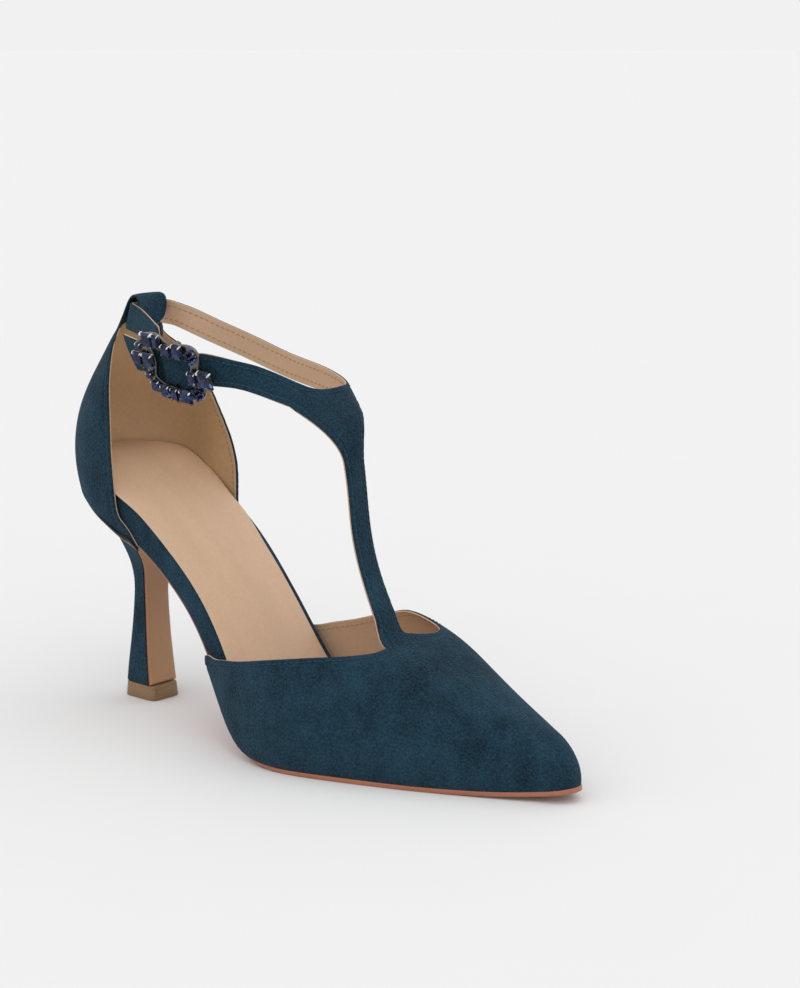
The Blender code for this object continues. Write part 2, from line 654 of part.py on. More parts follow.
# Buckle
def buckle_axes():
    """Return the middle of the buckle on the strap's outer face and its three axes."""
    place, along, up = ring_frame(np.array(BUCKLE_STEP))
    return place, along, up, np.cross(along, up)


def buckle_matrix(along=0.0, across=0.0, out=0.0):
    """Return the matrix that carries a local piece on to the buckle, x along the strap, z outward."""
    place, e1, e2, e3 = buckle_axes()
    spot = place + e1 * along + e2 * across + e3 * out
    matrix = Matrix.Identity(4)
    for row in range(3):
        matrix[row][0], matrix[row][1], matrix[row][2] = e1[row], e2[row], e3[row]
        matrix[row][3] = spot[row] * MM
    return matrix


def make_elastic():
    """Run the elastic from the rear end of the strap to the bar of the buckle and fold it round the bar."""
    place, e1, e2, e3 = buckle_axes()
    centre = place + e3 * BAR_DEPTH
    reach = BAR_RADIUS + GAP + ELASTIC_THICK
    turn = np.linspace(-np.pi / 2, np.pi / 2, 9)
    wrap = [centre + e1 * math.cos(a) * reach + e3 * math.sin(a) * reach for a in turn]
    back = wrap[-1] - e1 * 7.0
    start, along, up = ring_frame(np.array(RING_END - 0.3))
    start = start - np.cross(along, up) * (UPPER_WALL + GAP + 0.6 + ELASTIC_THICK)
    towards = wrap[0] - e1 * 8.0
    path = [bezier(start, start + along * 7.0, towards - e1 * 4.0, towards, s) for s in np.linspace(0, 1, 9)]
    ups = [up + (e2 - up) * s for s in np.linspace(0, 1, 9)]
    path += wrap + [back]
    ups += [e2] * 10
    sides = [u / np.linalg.norm(u) * ELASTIC_HALF for u in ups]
    grid = np.stack([[p + side * k for k in (1, 0, -1)] for p, side in zip(path, sides)])
    return sheet("elastic", grid, "elastic", ELASTIC_THICK)


def make_buckle_plate():
    """Cut the plate of the buckle: a frame round a window, with a lobe at each end."""
    (wide, tall), (win_w, win_h) = PLATE_HALF, PLATE_WINDOW
    cut, lobe_h = PLATE_CORNER, LOBE_HALF
    outer = []
    for side, lobe in zip((1, -1), PLATE_LOBES):
        edge = [(wide - cut, -tall), (wide, -tall + cut), (wide, -lobe_h - 0.4), (lobe - LOBE_CUT, -lobe_h),
                (lobe, -lobe_h + LOBE_CUT), (lobe, lobe_h - LOBE_CUT), (lobe - LOBE_CUT, lobe_h),
                (wide, lobe_h + 0.4), (wide, tall - cut), (wide - cut, tall)]
        outer += [(side * x, y) for x, y in edge[::side]]
    window = [(win_w, -win_h), (win_w, win_h), (-win_w, win_h), (-win_w, -win_h)]
    curve = bpy.data.curves.new("buckle_plate", "CURVE")
    curve.dimensions = "2D"
    curve.fill_mode = "BOTH"
    curve.extrude = PLATE_THICK / 2 * MM
    for points in (outer, window):
        line = curve.splines.new("POLY")
        line.points.add(len(points) - 1)
        for point, (x, y) in zip(line.points, points):
            point.co = (x * MM, y * MM, 0, 1)
        line.use_cyclic_u = True
    return settle_curve("buckle_plate", curve, buckle_matrix(out=GAP + 0.1 + PLATE_THICK / 2), "gunmetal")


def settle_curve(name, curve, matrix, slot):
    """Turn a curve into a mesh object, weld its caps and put it in its place."""
    holder = bpy.data.objects.new(name + "_curve", curve)
    bpy.context.scene.collection.objects.link(holder)
    graph = bpy.context.evaluated_depsgraph_get()
    mesh = bpy.data.meshes.new_from_object(holder.evaluated_get(graph))
    bpy.data.objects.remove(holder)
    mesh.name = name
    bm = bmesh.new()
    bm.from_mesh(mesh)
    bmesh.ops.remove_doubles(bm, verts=bm.verts, dist=0.00001)
    bm.to_mesh(mesh)
    bm.free()
    obj = settle(name, mesh, slot)
    obj.matrix_world = matrix
    return obj


def make_buckle_bar():
    """Bend the wire staple behind the plate that the elastic is folded round."""
    curve = bpy.data.curves.new("buckle_bar", "CURVE")
    curve.dimensions = "3D"
    curve.bevel_depth = BAR_RADIUS * MM
    curve.bevel_resolution = 1
    curve.use_fill_caps = True
    line = curve.splines.new("POLY")
    points = [(0.1, BAR_HALF), (BAR_DEPTH + 0.8, BAR_HALF), (BAR_DEPTH, BAR_HALF - 0.8),
              (BAR_DEPTH, -BAR_HALF + 0.8), (BAR_DEPTH + 0.8, -BAR_HALF), (0.1, -BAR_HALF)]
    line.points.add(len(points) - 1)
    for point, (out, across) in zip(line.points, points):
        point.co = (0, across * MM, out * MM, 1)
    return settle_curve("buckle_bar", curve, buckle_matrix(), "gunmetal")


def make_stones():
    """Set the cut stones on the plate, each an eight-sided crown under a flat table."""
    low = GAP + 0.1 + PLATE_THICK + GAP
    for row in STONES.rows:
        number, along, across, size_a, size_b = row
        bm = bmesh.new()
        high = STONE_BASE + STONE_GROWTH * min(size_a, size_b)
        turn = Matrix.Rotation(math.pi / 8, 4, "Z")
        girdle = bmesh.ops.create_cone(bm, cap_ends=True, segments=8, radius1=0.5 * MM, radius2=0.5 * MM,
                                       depth=high * MM, matrix=turn)["verts"]
        for vert in girdle:
            shrink = STONE_WIDE * (STONE_TABLE if vert.co.z > 0 else 1.0)
            vert.co.x *= size_a * shrink
            vert.co.y *= size_b * shrink
        name = f"stone_{int(number) + 1:02d}"
        mesh = bpy.data.meshes.new(name)
        bm.to_mesh(mesh)
        bm.free()
        stone = settle(name, mesh, "stone", crease=1.0)
        stone.matrix_world = buckle_matrix(along, across, low + high / 2)


def stand_on_origin():
    """Hang every piece on an empty and move it so that the middle of the box stands on the origin."""
    graph = bpy.context.evaluated_depsgraph_get()
    graph.update()
    pieces = list(bpy.data.collections[NAME].objects)
    points = []
    for obj in pieces:
        mesh = obj.evaluated_get(graph).to_mesh()
        mesh.transform(obj.matrix_world)
        flat = np.empty(len(mesh.vertices) * 3)
        mesh.vertices.foreach_get("co", flat)
        points.append(flat.reshape(-1, 3))
    points = np.concatenate(points)
    low, high = points.min(0), points.max(0)
    stand = bpy.data.objects.new("stand", None)
    bpy.data.collections[NAME].objects.link(stand)
    for obj in pieces:
        obj.parent = stand
    stand.location = (-(low[0] + high[0]) / 2, -(low[1] + high[1]) / 2, -low[2])


def main():
    """Build the shoe."""
    for obj in list(bpy.data.objects):
        bpy.data.objects.remove(obj)
    bpy.context.scene.collection.children.link(bpy.data.collections.new(NAME))
    make_outsole()
    make_insole_base()
    make_sock()
    make_heel()
    make_heel_breast()
    make_top_lift()
    make_heel_rand()
    make_counter()
    make_upper()
    make_elastic()
    make_buckle_plate()
    make_buckle_bar()
    make_stones()
    stand_on_origin()


if __name__ == "__main__":
    main()
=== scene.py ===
"""Dressed model of a right pointed toe pump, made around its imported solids.

Tables and sizes are in millimetres in the frame of the last: x from the heel to the toe, y from the
lateral side (minus) to the medial side (plus), z up from the floor. Meshes are written in metres in the
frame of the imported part, which is the same frame moved so that the part's box stands on the origin.
"""
import json
import logging
import math
from dataclasses import dataclass
from enum import Enum
from typing import Optional, Sequence

import bpy
import numpy as np
from mathutils import Matrix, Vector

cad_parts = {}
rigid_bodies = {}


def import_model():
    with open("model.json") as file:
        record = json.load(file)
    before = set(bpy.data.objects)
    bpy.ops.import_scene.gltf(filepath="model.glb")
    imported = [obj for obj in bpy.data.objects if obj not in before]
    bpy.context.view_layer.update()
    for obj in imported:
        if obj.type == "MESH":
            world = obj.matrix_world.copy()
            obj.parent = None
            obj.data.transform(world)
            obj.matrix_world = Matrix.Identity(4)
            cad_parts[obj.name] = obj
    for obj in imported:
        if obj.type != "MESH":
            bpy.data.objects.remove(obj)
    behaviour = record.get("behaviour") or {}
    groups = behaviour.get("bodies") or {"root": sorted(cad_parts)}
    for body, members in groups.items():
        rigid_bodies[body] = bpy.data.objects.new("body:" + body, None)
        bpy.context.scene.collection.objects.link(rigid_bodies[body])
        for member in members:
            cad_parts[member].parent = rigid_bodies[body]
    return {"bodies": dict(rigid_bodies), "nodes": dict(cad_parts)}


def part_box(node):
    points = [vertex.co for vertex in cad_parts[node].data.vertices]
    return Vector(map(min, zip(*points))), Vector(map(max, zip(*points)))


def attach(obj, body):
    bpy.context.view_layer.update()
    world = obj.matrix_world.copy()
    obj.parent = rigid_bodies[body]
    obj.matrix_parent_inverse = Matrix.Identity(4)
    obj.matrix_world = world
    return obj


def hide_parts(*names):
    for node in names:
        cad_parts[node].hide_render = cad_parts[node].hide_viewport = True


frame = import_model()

Array = np.ndarray
Colour = tuple[float, float, float]

LOG = logging.getLogger("pump")
MM = 0.001
BLOCK = 2000
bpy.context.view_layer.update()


def cubic(knots: Array, rows: Array, where: Array) -> Array:
    """Read a natural cubic spline.

    The second derivatives at the knots solve the usual three-banded system with zero bend at both ends,
    and each span is the cubic that they and its end values fix.

    Args:
        knots: Rising places of the rows.
        rows: One value or one block of values for each knot.
        where: Places to read at, clipped to the knots.

    Returns:
        The values at the places, with the shape of where followed by the shape of one row.
    """
    knots, rows = np.asarray(knots, float), np.asarray(rows, float)
    flat = rows.reshape(len(knots), -1)
    step = np.diff(knots)[:, None]
    rise = np.diff(flat, axis=0) / step
    system, right = np.eye(len(knots)), np.zeros_like(flat)
    inner = np.arange(1, len(knots) - 1)
    system[inner, inner - 1] = step[:-1, 0]
    system[inner, inner] = 2 * (step[:-1, 0] + step[1:, 0])
    system[inner, inner + 1] = step[1:, 0]
    right[1:-1] = 6 * np.diff(rise, axis=0)
    bend = np.linalg.solve(system, right)
    where = np.clip(np.asarray(where, float), knots[0], knots[-1])
    spot = where.reshape(-1)
    i = np.clip(np.searchsorted(knots, spot) - 1, 0, len(knots) - 2)
    left, past, h = (knots[i + 1] - spot)[:, None], (spot - knots[i])[:, None], step[i]
    value = ((bend[i] * left ** 3 + bend[i + 1] * past ** 3) / (6 * h)
             + (flat[i] / h - bend[i] * h / 6) * left + (flat[i + 1] / h - bend[i + 1] * h / 6) * past)
    return value.reshape(where.shape + rows.shape[1:])


class Table:
    """Rows of named columns, read between the rows along a natural cubic of the first column."""

    def __init__(self, columns: str, rows: Sequence[Sequence[float]]) -> None:
        """Keep the rows.

        Args:
            columns: Names of the columns, parted by spaces.
            rows: One row of numbers for each knot.
        """
        self.names = columns.split()
        self.rows = np.array(rows, float)

    def at(self, name: str, where: Array) -> Array:
        """Read a column.

        Args:
            name: The column.
            where: Values of the first column.

        Returns:
            The column's value at each of them.
        """
        return cubic(self.rows[:, 0], self.rows[:, self.names.index(name)], where)


def unit(vectors: Array) -> Array:
    """Return the vectors scaled to length one."""
    return vectors / np.maximum(np.linalg.norm(vectors, axis=-1, keepdims=True), 1e-12)


def smooth(share: Array) -> Array:
    """Return the share eased at both ends: three times its square less twice its cube."""
    share = np.clip(share, 0, 1)
    return share * share * (3 - 2 * share)


def between(where: Array, start: float, rise: float, end: float, fall: float) -> Array:
    """Return a share that eases in over the rise after the start and out over the fall before the end."""
    return smooth((where - start) / rise) * smooth((end - where) / fall)


def bell(where: Array, middle: Array | float, wide: Array | float, power: int = 2) -> Array:
    """Return a bell curve: e to the minus power of the distance from the middle over the width."""
    return np.exp(-((where - middle) / wide) ** power)


def signed_power(values: Array, power: Array | float) -> Array:
    """Return the values raised to a power with their signs kept, which squares a circle's corners."""
    return np.sign(values) * np.abs(values) ** power


def bezier(start: Array, leave: Array, arrive: Array, end: Array, share: Array) -> Array:
    """Carry rows of points along cubic Bezier curves.

    Args:
        start: Points at share 0.
        leave: First handles.
        arrive: Second handles.
        end: Points at share 1.
        share: One-dimensional shares.

    Returns:
        A block of rows, one for each share.
    """
    s = np.asarray(share, float).reshape((-1,) + (1,) * np.ndim(start))
    return ((1 - s) ** 3 * start + 3 * s * (1 - s) ** 2 * leave
            + 3 * s ** 2 * (1 - s) * arrive + s ** 3 * end)


def walk(path: Array) -> Array:
    """Return the distance walked along a path at each of its points."""
    return np.concatenate([[0], np.cumsum(np.linalg.norm(np.diff(path, axis=0), axis=1))])


def resample(path: Array, pitch: float) -> Array:
    """Return points at equal distances along a path.

    Args:
        path: Points of the path.
        pitch: Distance wanted between the new points.

    Returns:
        The new points, with both ends kept.
    """
    run = walk(path)
    where = np.linspace(0, run[-1], max(int(round(run[-1] / pitch)), 1) + 1)
    return np.stack([np.interp(where, run, path[:, i]) for i in range(3)], -1)


def nearest(points: Array, line: Array) -> tuple[Array, Array]:
    """Find the nearest point of a cloud for each given point, from all squared distances in blocks.

    Args:
        points: Points that ask.
        line: Points that answer.

    Returns:
        Index of the nearest answer and its distance, for each point.
    """
    index, gap = np.empty(len(points), int), np.empty(len(points))
    length = np.sum(line * line, 1)
    for first in range(0, len(points), BLOCK):
        some = slice(first, first + BLOCK)
        block = points[some]
        square = np.sum(block * block, 1)[:, None] + length - 2 * block @ line.T
        index[some] = square.argmin(1)
        gap[some] = np.sqrt(np.maximum(square.min(1), 0))
    return index, gap


@dataclass
class Skin:
    """A surface in millimetres of the last: points, four-cornered faces and many-cornered end caps."""

    points: Array
    faces: Array
    caps: Sequence[Sequence[int]] = ()

    @classmethod
    def from_grid(cls, grid: Array, flip: bool = False, around: bool = False) -> "Skin":
        """Skin a grid of points.

        Args:
            grid: Points in rows and columns.
            flip: Turn the faces over.
            around: Join the last column to the first.

        Returns:
            The surface, whose normal is the row direction crossed with the column direction.
        """
        rows, cols = grid.shape[:2]
        i, j = np.meshgrid(np.arange(rows - 1), np.arange(cols if around else cols - 1), indexing="ij")
        k = (j + 1) % cols
        corners = [i * cols + j, (i + 1) * cols + j, (i + 1) * cols + k, i * cols + k]
        faces = np.stack(corners, -1).reshape(-1, 4)
        return cls(grid.reshape(-1, 3), faces[:, ::-1] if flip else faces)

    @classmethod
    def lofted(cls, rings: Array, flip: bool = False) -> "Skin":
        """Skin closed rings and cap the first and the last one.

        Args:
            rings: Points by ring and place in the ring.
            flip: Turn the faces over.

        Returns:
            The closed surface.
        """
        skin = cls.from_grid(rings, flip, around=True)
        ring = np.arange(rings.shape[1])
        first, last = ring.tolist(), (ring + (len(rings) - 1) * rings.shape[1])[::-1].tolist()
        skin.caps = (first[::-1], last[::-1]) if flip else (first, last)
        return skin

    @classmethod
    def joined(cls, parts: Sequence["Skin"]) -> "Skin":
        """Join surfaces and merge the points that they share.

        Args:
            parts: Surfaces without caps.

        Returns:
            One surface.
        """
        first = np.cumsum([0] + [len(p.points) for p in parts])
        points = np.concatenate([p.points for p in parts])
        faces = np.concatenate([p.faces + f for p, f in zip(parts, first)])
        used = np.unique(faces)
        places = np.round(points[used], 4)
        _, index, inverse = np.unique(places, axis=0, return_index=True, return_inverse=True)
        order = np.zeros(len(points), int)
        order[used] = inverse.reshape(-1)
        return cls(points[used][index], order[faces])

    def normals(self) -> Array:
        """Work out the normal at each point: the sum of its faces' diagonal cross products, made unit.

        Returns:
            One normal for each point.
        """
        corner = self.points[self.faces]
        across = np.cross(corner[:, 2] - corner[:, 0], corner[:, 3] - corner[:, 1])
        total = np.zeros_like(self.points)
        for column in range(4):
            np.add.at(total, self.faces[:, column], across)
        return unit(total)

    def raised(self, rise: Array | float) -> "Skin":
        """Return the surface moved along its normals by a rise for each point."""
        return Skin(self.points + self.normals() * np.reshape(rise, (-1, 1)), self.faces, self.caps)

    def inside(self, wall: float) -> "Skin":
        """Return the inner face of a wall of the given thickness behind the surface."""
        return Skin(self.points - self.normals() * wall, self.faces[:, ::-1])

    @classmethod
    def piled(cls, parts: Sequence["Skin"]) -> "Skin":
        """Put separate closed surfaces into one, with their caps.

        Args:
            parts: The surfaces.

        Returns:
            One surface of all of them.
        """
        first = np.cumsum([0] + [len(p.points) for p in parts])
        caps = [(np.array(cap) + f).tolist() for p, f in zip(parts, first) for cap in p.caps]
        return cls(np.concatenate([p.points for p in parts]),
                   np.concatenate([p.faces + f for p, f in zip(parts, first)]), caps)


class Sheet:
    """A material's node tree, with short calls that add and join its nodes."""

    def __init__(self, name: str) -> None:
        """Start a material with a plain shader.

        Args:
            name: The material's name.
        """
        self.material = bpy.data.materials.new(name)
        self.material.use_nodes = True
        self.tree = self.material.node_tree
        self.shader = self.tree.nodes["Principled BSDF"]
        self.place = self.add("ShaderNodeTexCoord").outputs["Object"]

    def add(self, kind: str, **values: object) -> bpy.types.Node:
        """Add a node.

        Args:
            kind: The node's type.
            **values: Settings of the node.

        Returns:
            The node.
        """
        node = self.tree.nodes.new(kind)
        for key, value in values.items():
            setattr(node, key, value)
        return node

    def feed(self, socket: bpy.types.NodeSocket, value: object) -> None:
        """Give a socket a value, or join it to another socket.

        Args:
            socket: The socket.
            value: The value or the other socket.
        """
        if isinstance(value, bpy.types.NodeSocket):
            self.tree.links.new(value, socket)
        else:
            socket.default_value = value

    def set(self, **values: object) -> None:
        """Set the shader's sockets, named with underscores for spaces."""
        for key, value in values.items():
            self.feed(self.shader.inputs[key.replace("_", " ")], value)

    def noise(self, scale: float, detail: float = 3.0, stretch: Colour = (1, 1, 1)) -> bpy.types.NodeSocket:
        """Add a noise on the object's own coordinates.

        Args:
            scale: Lumps to the metre.
            detail: Octaves.
            stretch: Scale of the three axes.

        Returns:
            The noise's value.
        """
        node = self.add("ShaderNodeTexNoise")
        mapping = self.add("ShaderNodeMapping")
        mapping.inputs["Scale"].default_value = stretch
        self.feed(mapping.inputs["Vector"], self.place)
        self.feed(node.inputs["Vector"], mapping.outputs["Vector"])
        node.inputs["Scale"].default_value = scale
        node.inputs["Detail"].default_value = detail
        return node.outputs["Fac"]

    def cells(self, scale: float) -> bpy.types.NodeSocket:
        """Add rounded cells on the object's own coordinates.

        Args:
            scale: Cells to the metre.

        Returns:
            The distance to the cells' middles.
        """
        node = self.add("ShaderNodeTexVoronoi")
        self.feed(node.inputs["Vector"], self.place)
        node.inputs["Scale"].default_value = scale
        return node.outputs["Distance"]

    def attribute(self, name: str) -> bpy.types.NodeSocket:
        """Return the value of a mesh attribute."""
        return self.add("ShaderNodeAttribute", attribute_name=name).outputs["Fac"]

    def maths(self, action: str, first: object, second: object) -> bpy.types.NodeSocket:
        """Add a sum of two values.

        Args:
            action: Kind of sum, such as ADD or MULTIPLY.
            first: Value or socket.
            second: Value or socket.

        Returns:
            The result.
        """
        node = self.add("ShaderNodeMath", operation=action)
        self.feed(node.inputs[0], first)
        self.feed(node.inputs[1], second)
        return node.outputs[0]

    def span(self, value: bpy.types.NodeSocket, low: float, high: float, to_low: float = 0.0,
             to_high: float = 1.0) -> bpy.types.NodeSocket:
        """Stretch a value from one span to another and hold it there.

        Args:
            value: The value.
            low: Value that becomes to_low.
            high: Value that becomes to_high.
            to_low: Start of the new span.
            to_high: End of the new span.

        Returns:
            The new value.
        """
        node = self.add("ShaderNodeMapRange")
        for name, number in (("Value", value), ("From Min", low), ("From Max", high),
                             ("To Min", to_low), ("To Max", to_high)):
            self.feed(node.inputs[name], number)
        return node.outputs["Result"]

    def blend(self, share: bpy.types.NodeSocket, first: object, second: object) -> bpy.types.NodeSocket:
        """Mix two colours.

        Args:
            share: Share of the second colour.
            first: Colour or socket.
            second: Colour or socket.

        Returns:
            The mixed colour.
        """
        node = self.add("ShaderNodeMix", data_type="RGBA")
        for socket, value in ((node.inputs[0], share), (node.inputs[6], first), (node.inputs[7], second)):
            self.feed(socket, (*value, 1.0) if isinstance(value, tuple) else value)
        return node.outputs[2]

    def bump(self, height: bpy.types.NodeSocket, depth: float,
             below: Optional[bpy.types.NodeSocket] = None) -> bpy.types.NodeSocket:
        """Add relief.

        Args:
            height: Height from 0 to 1.
            depth: Depth of the relief in metres.
            below: Relief that this one lies on.

        Returns:
            The normal.
        """
        node = self.add("ShaderNodeBump")
        node.inputs["Distance"].default_value = depth
        self.feed(node.inputs["Height"], height)
        if below is not None:
            self.feed(node.inputs["Normal"], below)
        return node.outputs["Normal"]


@dataclass(frozen=True)
class Finish:
    """A surface finish: its material's name, its two tones and its gloss."""

    name: str
    shade: Colour
    light: Colour
    roughness: float

    def material(self) -> bpy.types.Material:
        """Find the finish's material, or make it on first use.

        Returns:
            The material.
        """
        made = bpy.data.materials.get(self.name)
        if made is None:
            sheet = Sheet(self.name)
            self.dress(sheet)
            made = sheet.material
        return made

    def dress(self, sheet: Sheet) -> None:
        """Join the nodes of the finish."""
        raise NotImplementedError


@dataclass(frozen=True)
class Suede(Finish):
    """Brushed suede: clouds where the nap lies another way, fine fibres and a soft sheen."""

    clouds: float = 42.0
    patches: float = 170.0
    fibres: float = 1300.0
    lie: Colour = (1.0, 1.0, 0.55)
    parts: Colour = (0.24, 0.26, 0.50)
    patch_depth: float = 0.0002
    fibre_depth: float = 0.0003
    sheen: float = 0.10
    sheen_roughness: float = 0.45
    sheen_tint: tuple[float, ...] = (0.45, 0.62, 0.75, 1.0)
    specular: float = 0.12

    def dress(self, sheet: Sheet) -> None:
        """Mix the tones by clouds, patches and fibres, and raise the fibres a little.

        Args:
            sheet: The material's node tree.
        """
        cloud = sheet.span(sheet.noise(self.clouds, 2.0), 0.36, 0.64)
        patch = sheet.span(sheet.noise(self.patches, 4.0, self.lie), 0.32, 0.68)
        fibre = sheet.span(sheet.noise(self.fibres, 2.0), 0.34, 0.66)
        share = sheet.maths("MULTIPLY", cloud, self.parts[0])
        for layer, part in ((patch, self.parts[1]), (fibre, self.parts[2])):
            share = sheet.maths("ADD", share, sheet.maths("MULTIPLY", layer, part))
        relief = sheet.bump(patch, self.patch_depth)
        sheet.set(Base_Color=sheet.blend(share, self.shade, self.light),
                  Roughness=sheet.span(fibre, 0, 1, self.roughness, 1.0),
                  Normal=sheet.bump(fibre, self.fibre_depth, relief), Sheen_Weight=self.sheen,
                  Sheen_Roughness=self.sheen_roughness, Sheen_Tint=self.sheen_tint,
                  Specular_IOR_Level=self.specular)


@dataclass(frozen=True)
class Leather(Finish):
    """Smooth leather: slow change of tone, a fine grain and an even soft gloss."""

    grain: float = 1400.0
    depth: float = 0.00006
    coat: float = 0.0
    lumps: float = 28.0
    sheen_streak_draw: float = 1.0
    specks: float = 700.0
    parts: tuple[float, float] = (0.65, 0.35)
    gloss: tuple[float, float] = (-0.06, 0.08)
    coat_roughness: float = 0.35

    def dress(self, sheet: Sheet) -> None:
        """Mix the tones by slow lumps, drawn out lengthwise, and by specks, and press the grain in.
        Lumps drawn out into lengthwise streaks, as on the sock, are painted sheen.

        Args:
            sheet: The material's node tree.
        """
        # drawn out lengthwise, the slow tone lumps become streaks of painted sheen
        slow = sheet.noise(self.lumps, 3.0, (self.sheen_streak_draw, 1.0, self.sheen_streak_draw))
        speck = sheet.noise(self.specks, 3.0)
        share = sheet.maths("ADD", sheet.maths("MULTIPLY", sheet.span(slow, 0.3, 0.7), self.parts[0]),
                            sheet.maths("MULTIPLY", sheet.span(speck, 0.3, 0.7), self.parts[1]))
        low, high = (self.roughness + change for change in self.gloss)
        sheet.set(Base_Color=sheet.blend(share, self.shade, self.light),
                  Roughness=sheet.span(speck, 0.3, 0.7, low, high),
                  Normal=sheet.bump(sheet.cells(self.grain), self.depth),
                  Coat_Weight=self.coat, Coat_Roughness=self.coat_roughness)


@dataclass(frozen=True)
class Plating(Finish):
    """Mirror plating with faint handling marks."""

    lumps: float = 120.0
    marks: float = 1800.0
    mark_depth: float = 0.00001
    dulling: float = 0.1

    def dress(self, sheet: Sheet) -> None:
        """Mix the tones by slow lumps and the gloss by fine marks.

        Args:
            sheet: The material's node tree.
        """
        slow, fine = sheet.noise(self.lumps, 3.0), sheet.noise(self.marks, 2.0)
        sheet.set(Base_Color=sheet.blend(sheet.span(slow, 0.35, 0.65), self.shade, self.light), Metallic=1.0,
                  Roughness=sheet.span(fine, 0.3, 0.7, self.roughness, self.roughness + self.dulling),
                  Normal=sheet.bump(fine, self.mark_depth))


@dataclass(frozen=True)
class CutGlass(Finish):
    """Cut glass stone with painted light and shade on its facets, from an attribute that holds each facet's
    painted brightness.
    """

    # painted glint: colour of the brightest facets
    painted_glint: Colour = (0.22, 0.33, 0.65)
    clouds: float = 900.0
    haze: float = 0.12
    dulling: float = 0.06
    metallic: float = 0.1
    coat: float = 0.15
    coat_roughness: float = 0.02
    specular: float = 0.25

    def dress(self, sheet: Sheet) -> None:
        """Mix shade, light and painted glint by the facet's painted brightness, under a clear coat.

        Args:
            sheet: The material's node tree.
        """
        tone = sheet.attribute("facet")
        cloud = sheet.span(sheet.noise(self.clouds, 2.0), 0.3, 0.7, -self.haze, self.haze)
        mixed = sheet.maths("ADD", tone, cloud)
        low = sheet.blend(sheet.span(mixed, 0.0, 0.7), self.shade, self.light)
        sheet.set(Base_Color=sheet.blend(sheet.span(mixed, 0.72, 1.0), low, self.painted_glint),
                  Roughness=sheet.span(tone, 0.0, 1.0, self.roughness, self.roughness + self.dulling),
                  Metallic=self.metallic, Coat_Weight=self.coat, Coat_Roughness=self.coat_roughness,
                  Specular_IOR_Level=self.specular)


@dataclass(frozen=True)
class RibbedTape(Finish):
    """Woven elastic: ribs across the tape from its own map."""

    ribs: float = 70.0
    cords: float = 9.0
    cord_part: float = 0.6
    depth: float = 0.0002
    specular: float = 0.2

    def dress(self, sheet: Sheet) -> None:
        """Raise ribs across the tape and fine cords along it, both sine waves.

        Args:
            sheet: The material's node tree.
        """
        split = sheet.add("ShaderNodeSeparateXYZ")
        sheet.feed(split.inputs[0], sheet.add("ShaderNodeUVMap", uv_map="map").outputs["UV"])
        rib = sheet.maths("SINE", sheet.maths("MULTIPLY", split.outputs["X"], self.ribs * math.tau), 0.0)
        cord = sheet.maths("SINE", sheet.maths("MULTIPLY", split.outputs["Y"], self.cords * math.tau), 0.0)
        most = 1.0 + self.cord_part
        both = sheet.maths("ADD", rib, sheet.maths("MULTIPLY", cord, self.cord_part))
        weave = sheet.span(both, -most, most)
        sheet.set(Base_Color=sheet.blend(weave, self.shade, self.light), Roughness=self.roughness,
                  Normal=sheet.bump(weave, self.depth), Specular_IOR_Level=self.specular)


@dataclass(frozen=True)
class Plain(Finish):
    """Even finish with a faint mottle, for thread and the studio floor."""

    lumps: float = 900.0
    specular: float = 0.2

    def dress(self, sheet: Sheet) -> None:
        """Mix the tones by fine lumps."""
        tone = sheet.blend(sheet.noise(self.lumps, 2.0), self.shade, self.light)
        sheet.set(Base_Color=tone, Roughness=self.roughness, Specular_IOR_Level=self.specular)


class Slot(Enum):
    """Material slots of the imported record."""

    SUEDE = "suede"
    SOCK = "sock"
    SOLE = "sole"
    BREAST = "breast"
    LIFT = "lift"
    GUNMETAL = "gunmetal"
    ELASTIC = "elastic"
    STONE = "stone"


SUEDE = Suede("petrol_suede", (0.0018, 0.0085, 0.016), (0.0200, 0.060, 0.094), 0.85)
LINING = Leather("tan_lining", (0.40, 0.25, 0.13), (0.52, 0.335, 0.185), 0.5)
STRAP_LINING = Leather("rose_tan_lining", (0.50, 0.335, 0.215), (0.60, 0.41, 0.27), 0.5)
# sock: slow tone lumps drawn into lengthwise streaks, partly random tone and partly painted sheen
SOCK = Leather("tan_sock", (0.51, 0.335, 0.212), (0.62, 0.418, 0.274), 0.42, coat=0.15, lumps=60.0, sheen_streak_draw=0.15)
CUT_EDGE = Leather("pale_cut_edge", (0.62, 0.44, 0.30), (0.70, 0.51, 0.36), 0.5)
SOLE = Leather("red_tan_sole", (0.30, 0.10, 0.05), (0.38, 0.14, 0.075), 0.45, coat=0.2)
BREAST = Leather("tan_breast", (0.37, 0.20, 0.097), (0.436, 0.25, 0.122), 0.45, coat=0.1)
LIFT = Leather("bronze_lift", (0.168, 0.09, 0.0325), (0.24, 0.134, 0.05), 0.38, grain=2200.0, coat=0.3)
# seat strip plating: its own dark gunmetal tone, darkened further as a painted dark reflection of its
# surroundings
DARKENED_STRIP_PLATING = Plating("strip_plating_painted_dark", (0.016, 0.017, 0.019), (0.036, 0.036, 0.037), 0.1)
PEWTER = Plating("pewter_plating", (0.10, 0.097, 0.092), (0.20, 0.19, 0.175), 0.22)
# lighter copy of the claw metal: painted highlight on the upper claws
LIT_CLAW = Plating("claw_painted_highlight", (0.66, 0.64, 0.60), (0.84, 0.82, 0.77), 0.22)
GLASS = CutGlass("sapphire_glass", (0.003, 0.005, 0.014), (0.032, 0.058, 0.19), 0.05)
TAPE = RibbedTape("navy_tape", (0.003, 0.005, 0.017), (0.013, 0.018, 0.05), 0.8)
BLUE_THREAD = Plain("petrol_thread", (0.02, 0.05, 0.075), (0.035, 0.075, 0.105), 0.7)
TAN_THREAD = Plain("tan_thread", (0.27, 0.165, 0.08), (0.36, 0.225, 0.115), 0.6)
BROWN_THREAD = Plain("brown_thread", (0.30, 0.18, 0.09), (0.40, 0.25, 0.13), 0.6)
FLOOR = Plain("pale_floor", (0.795, 0.795, 0.795), (0.805, 0.805, 0.805), 0.95, lumps=30.0)


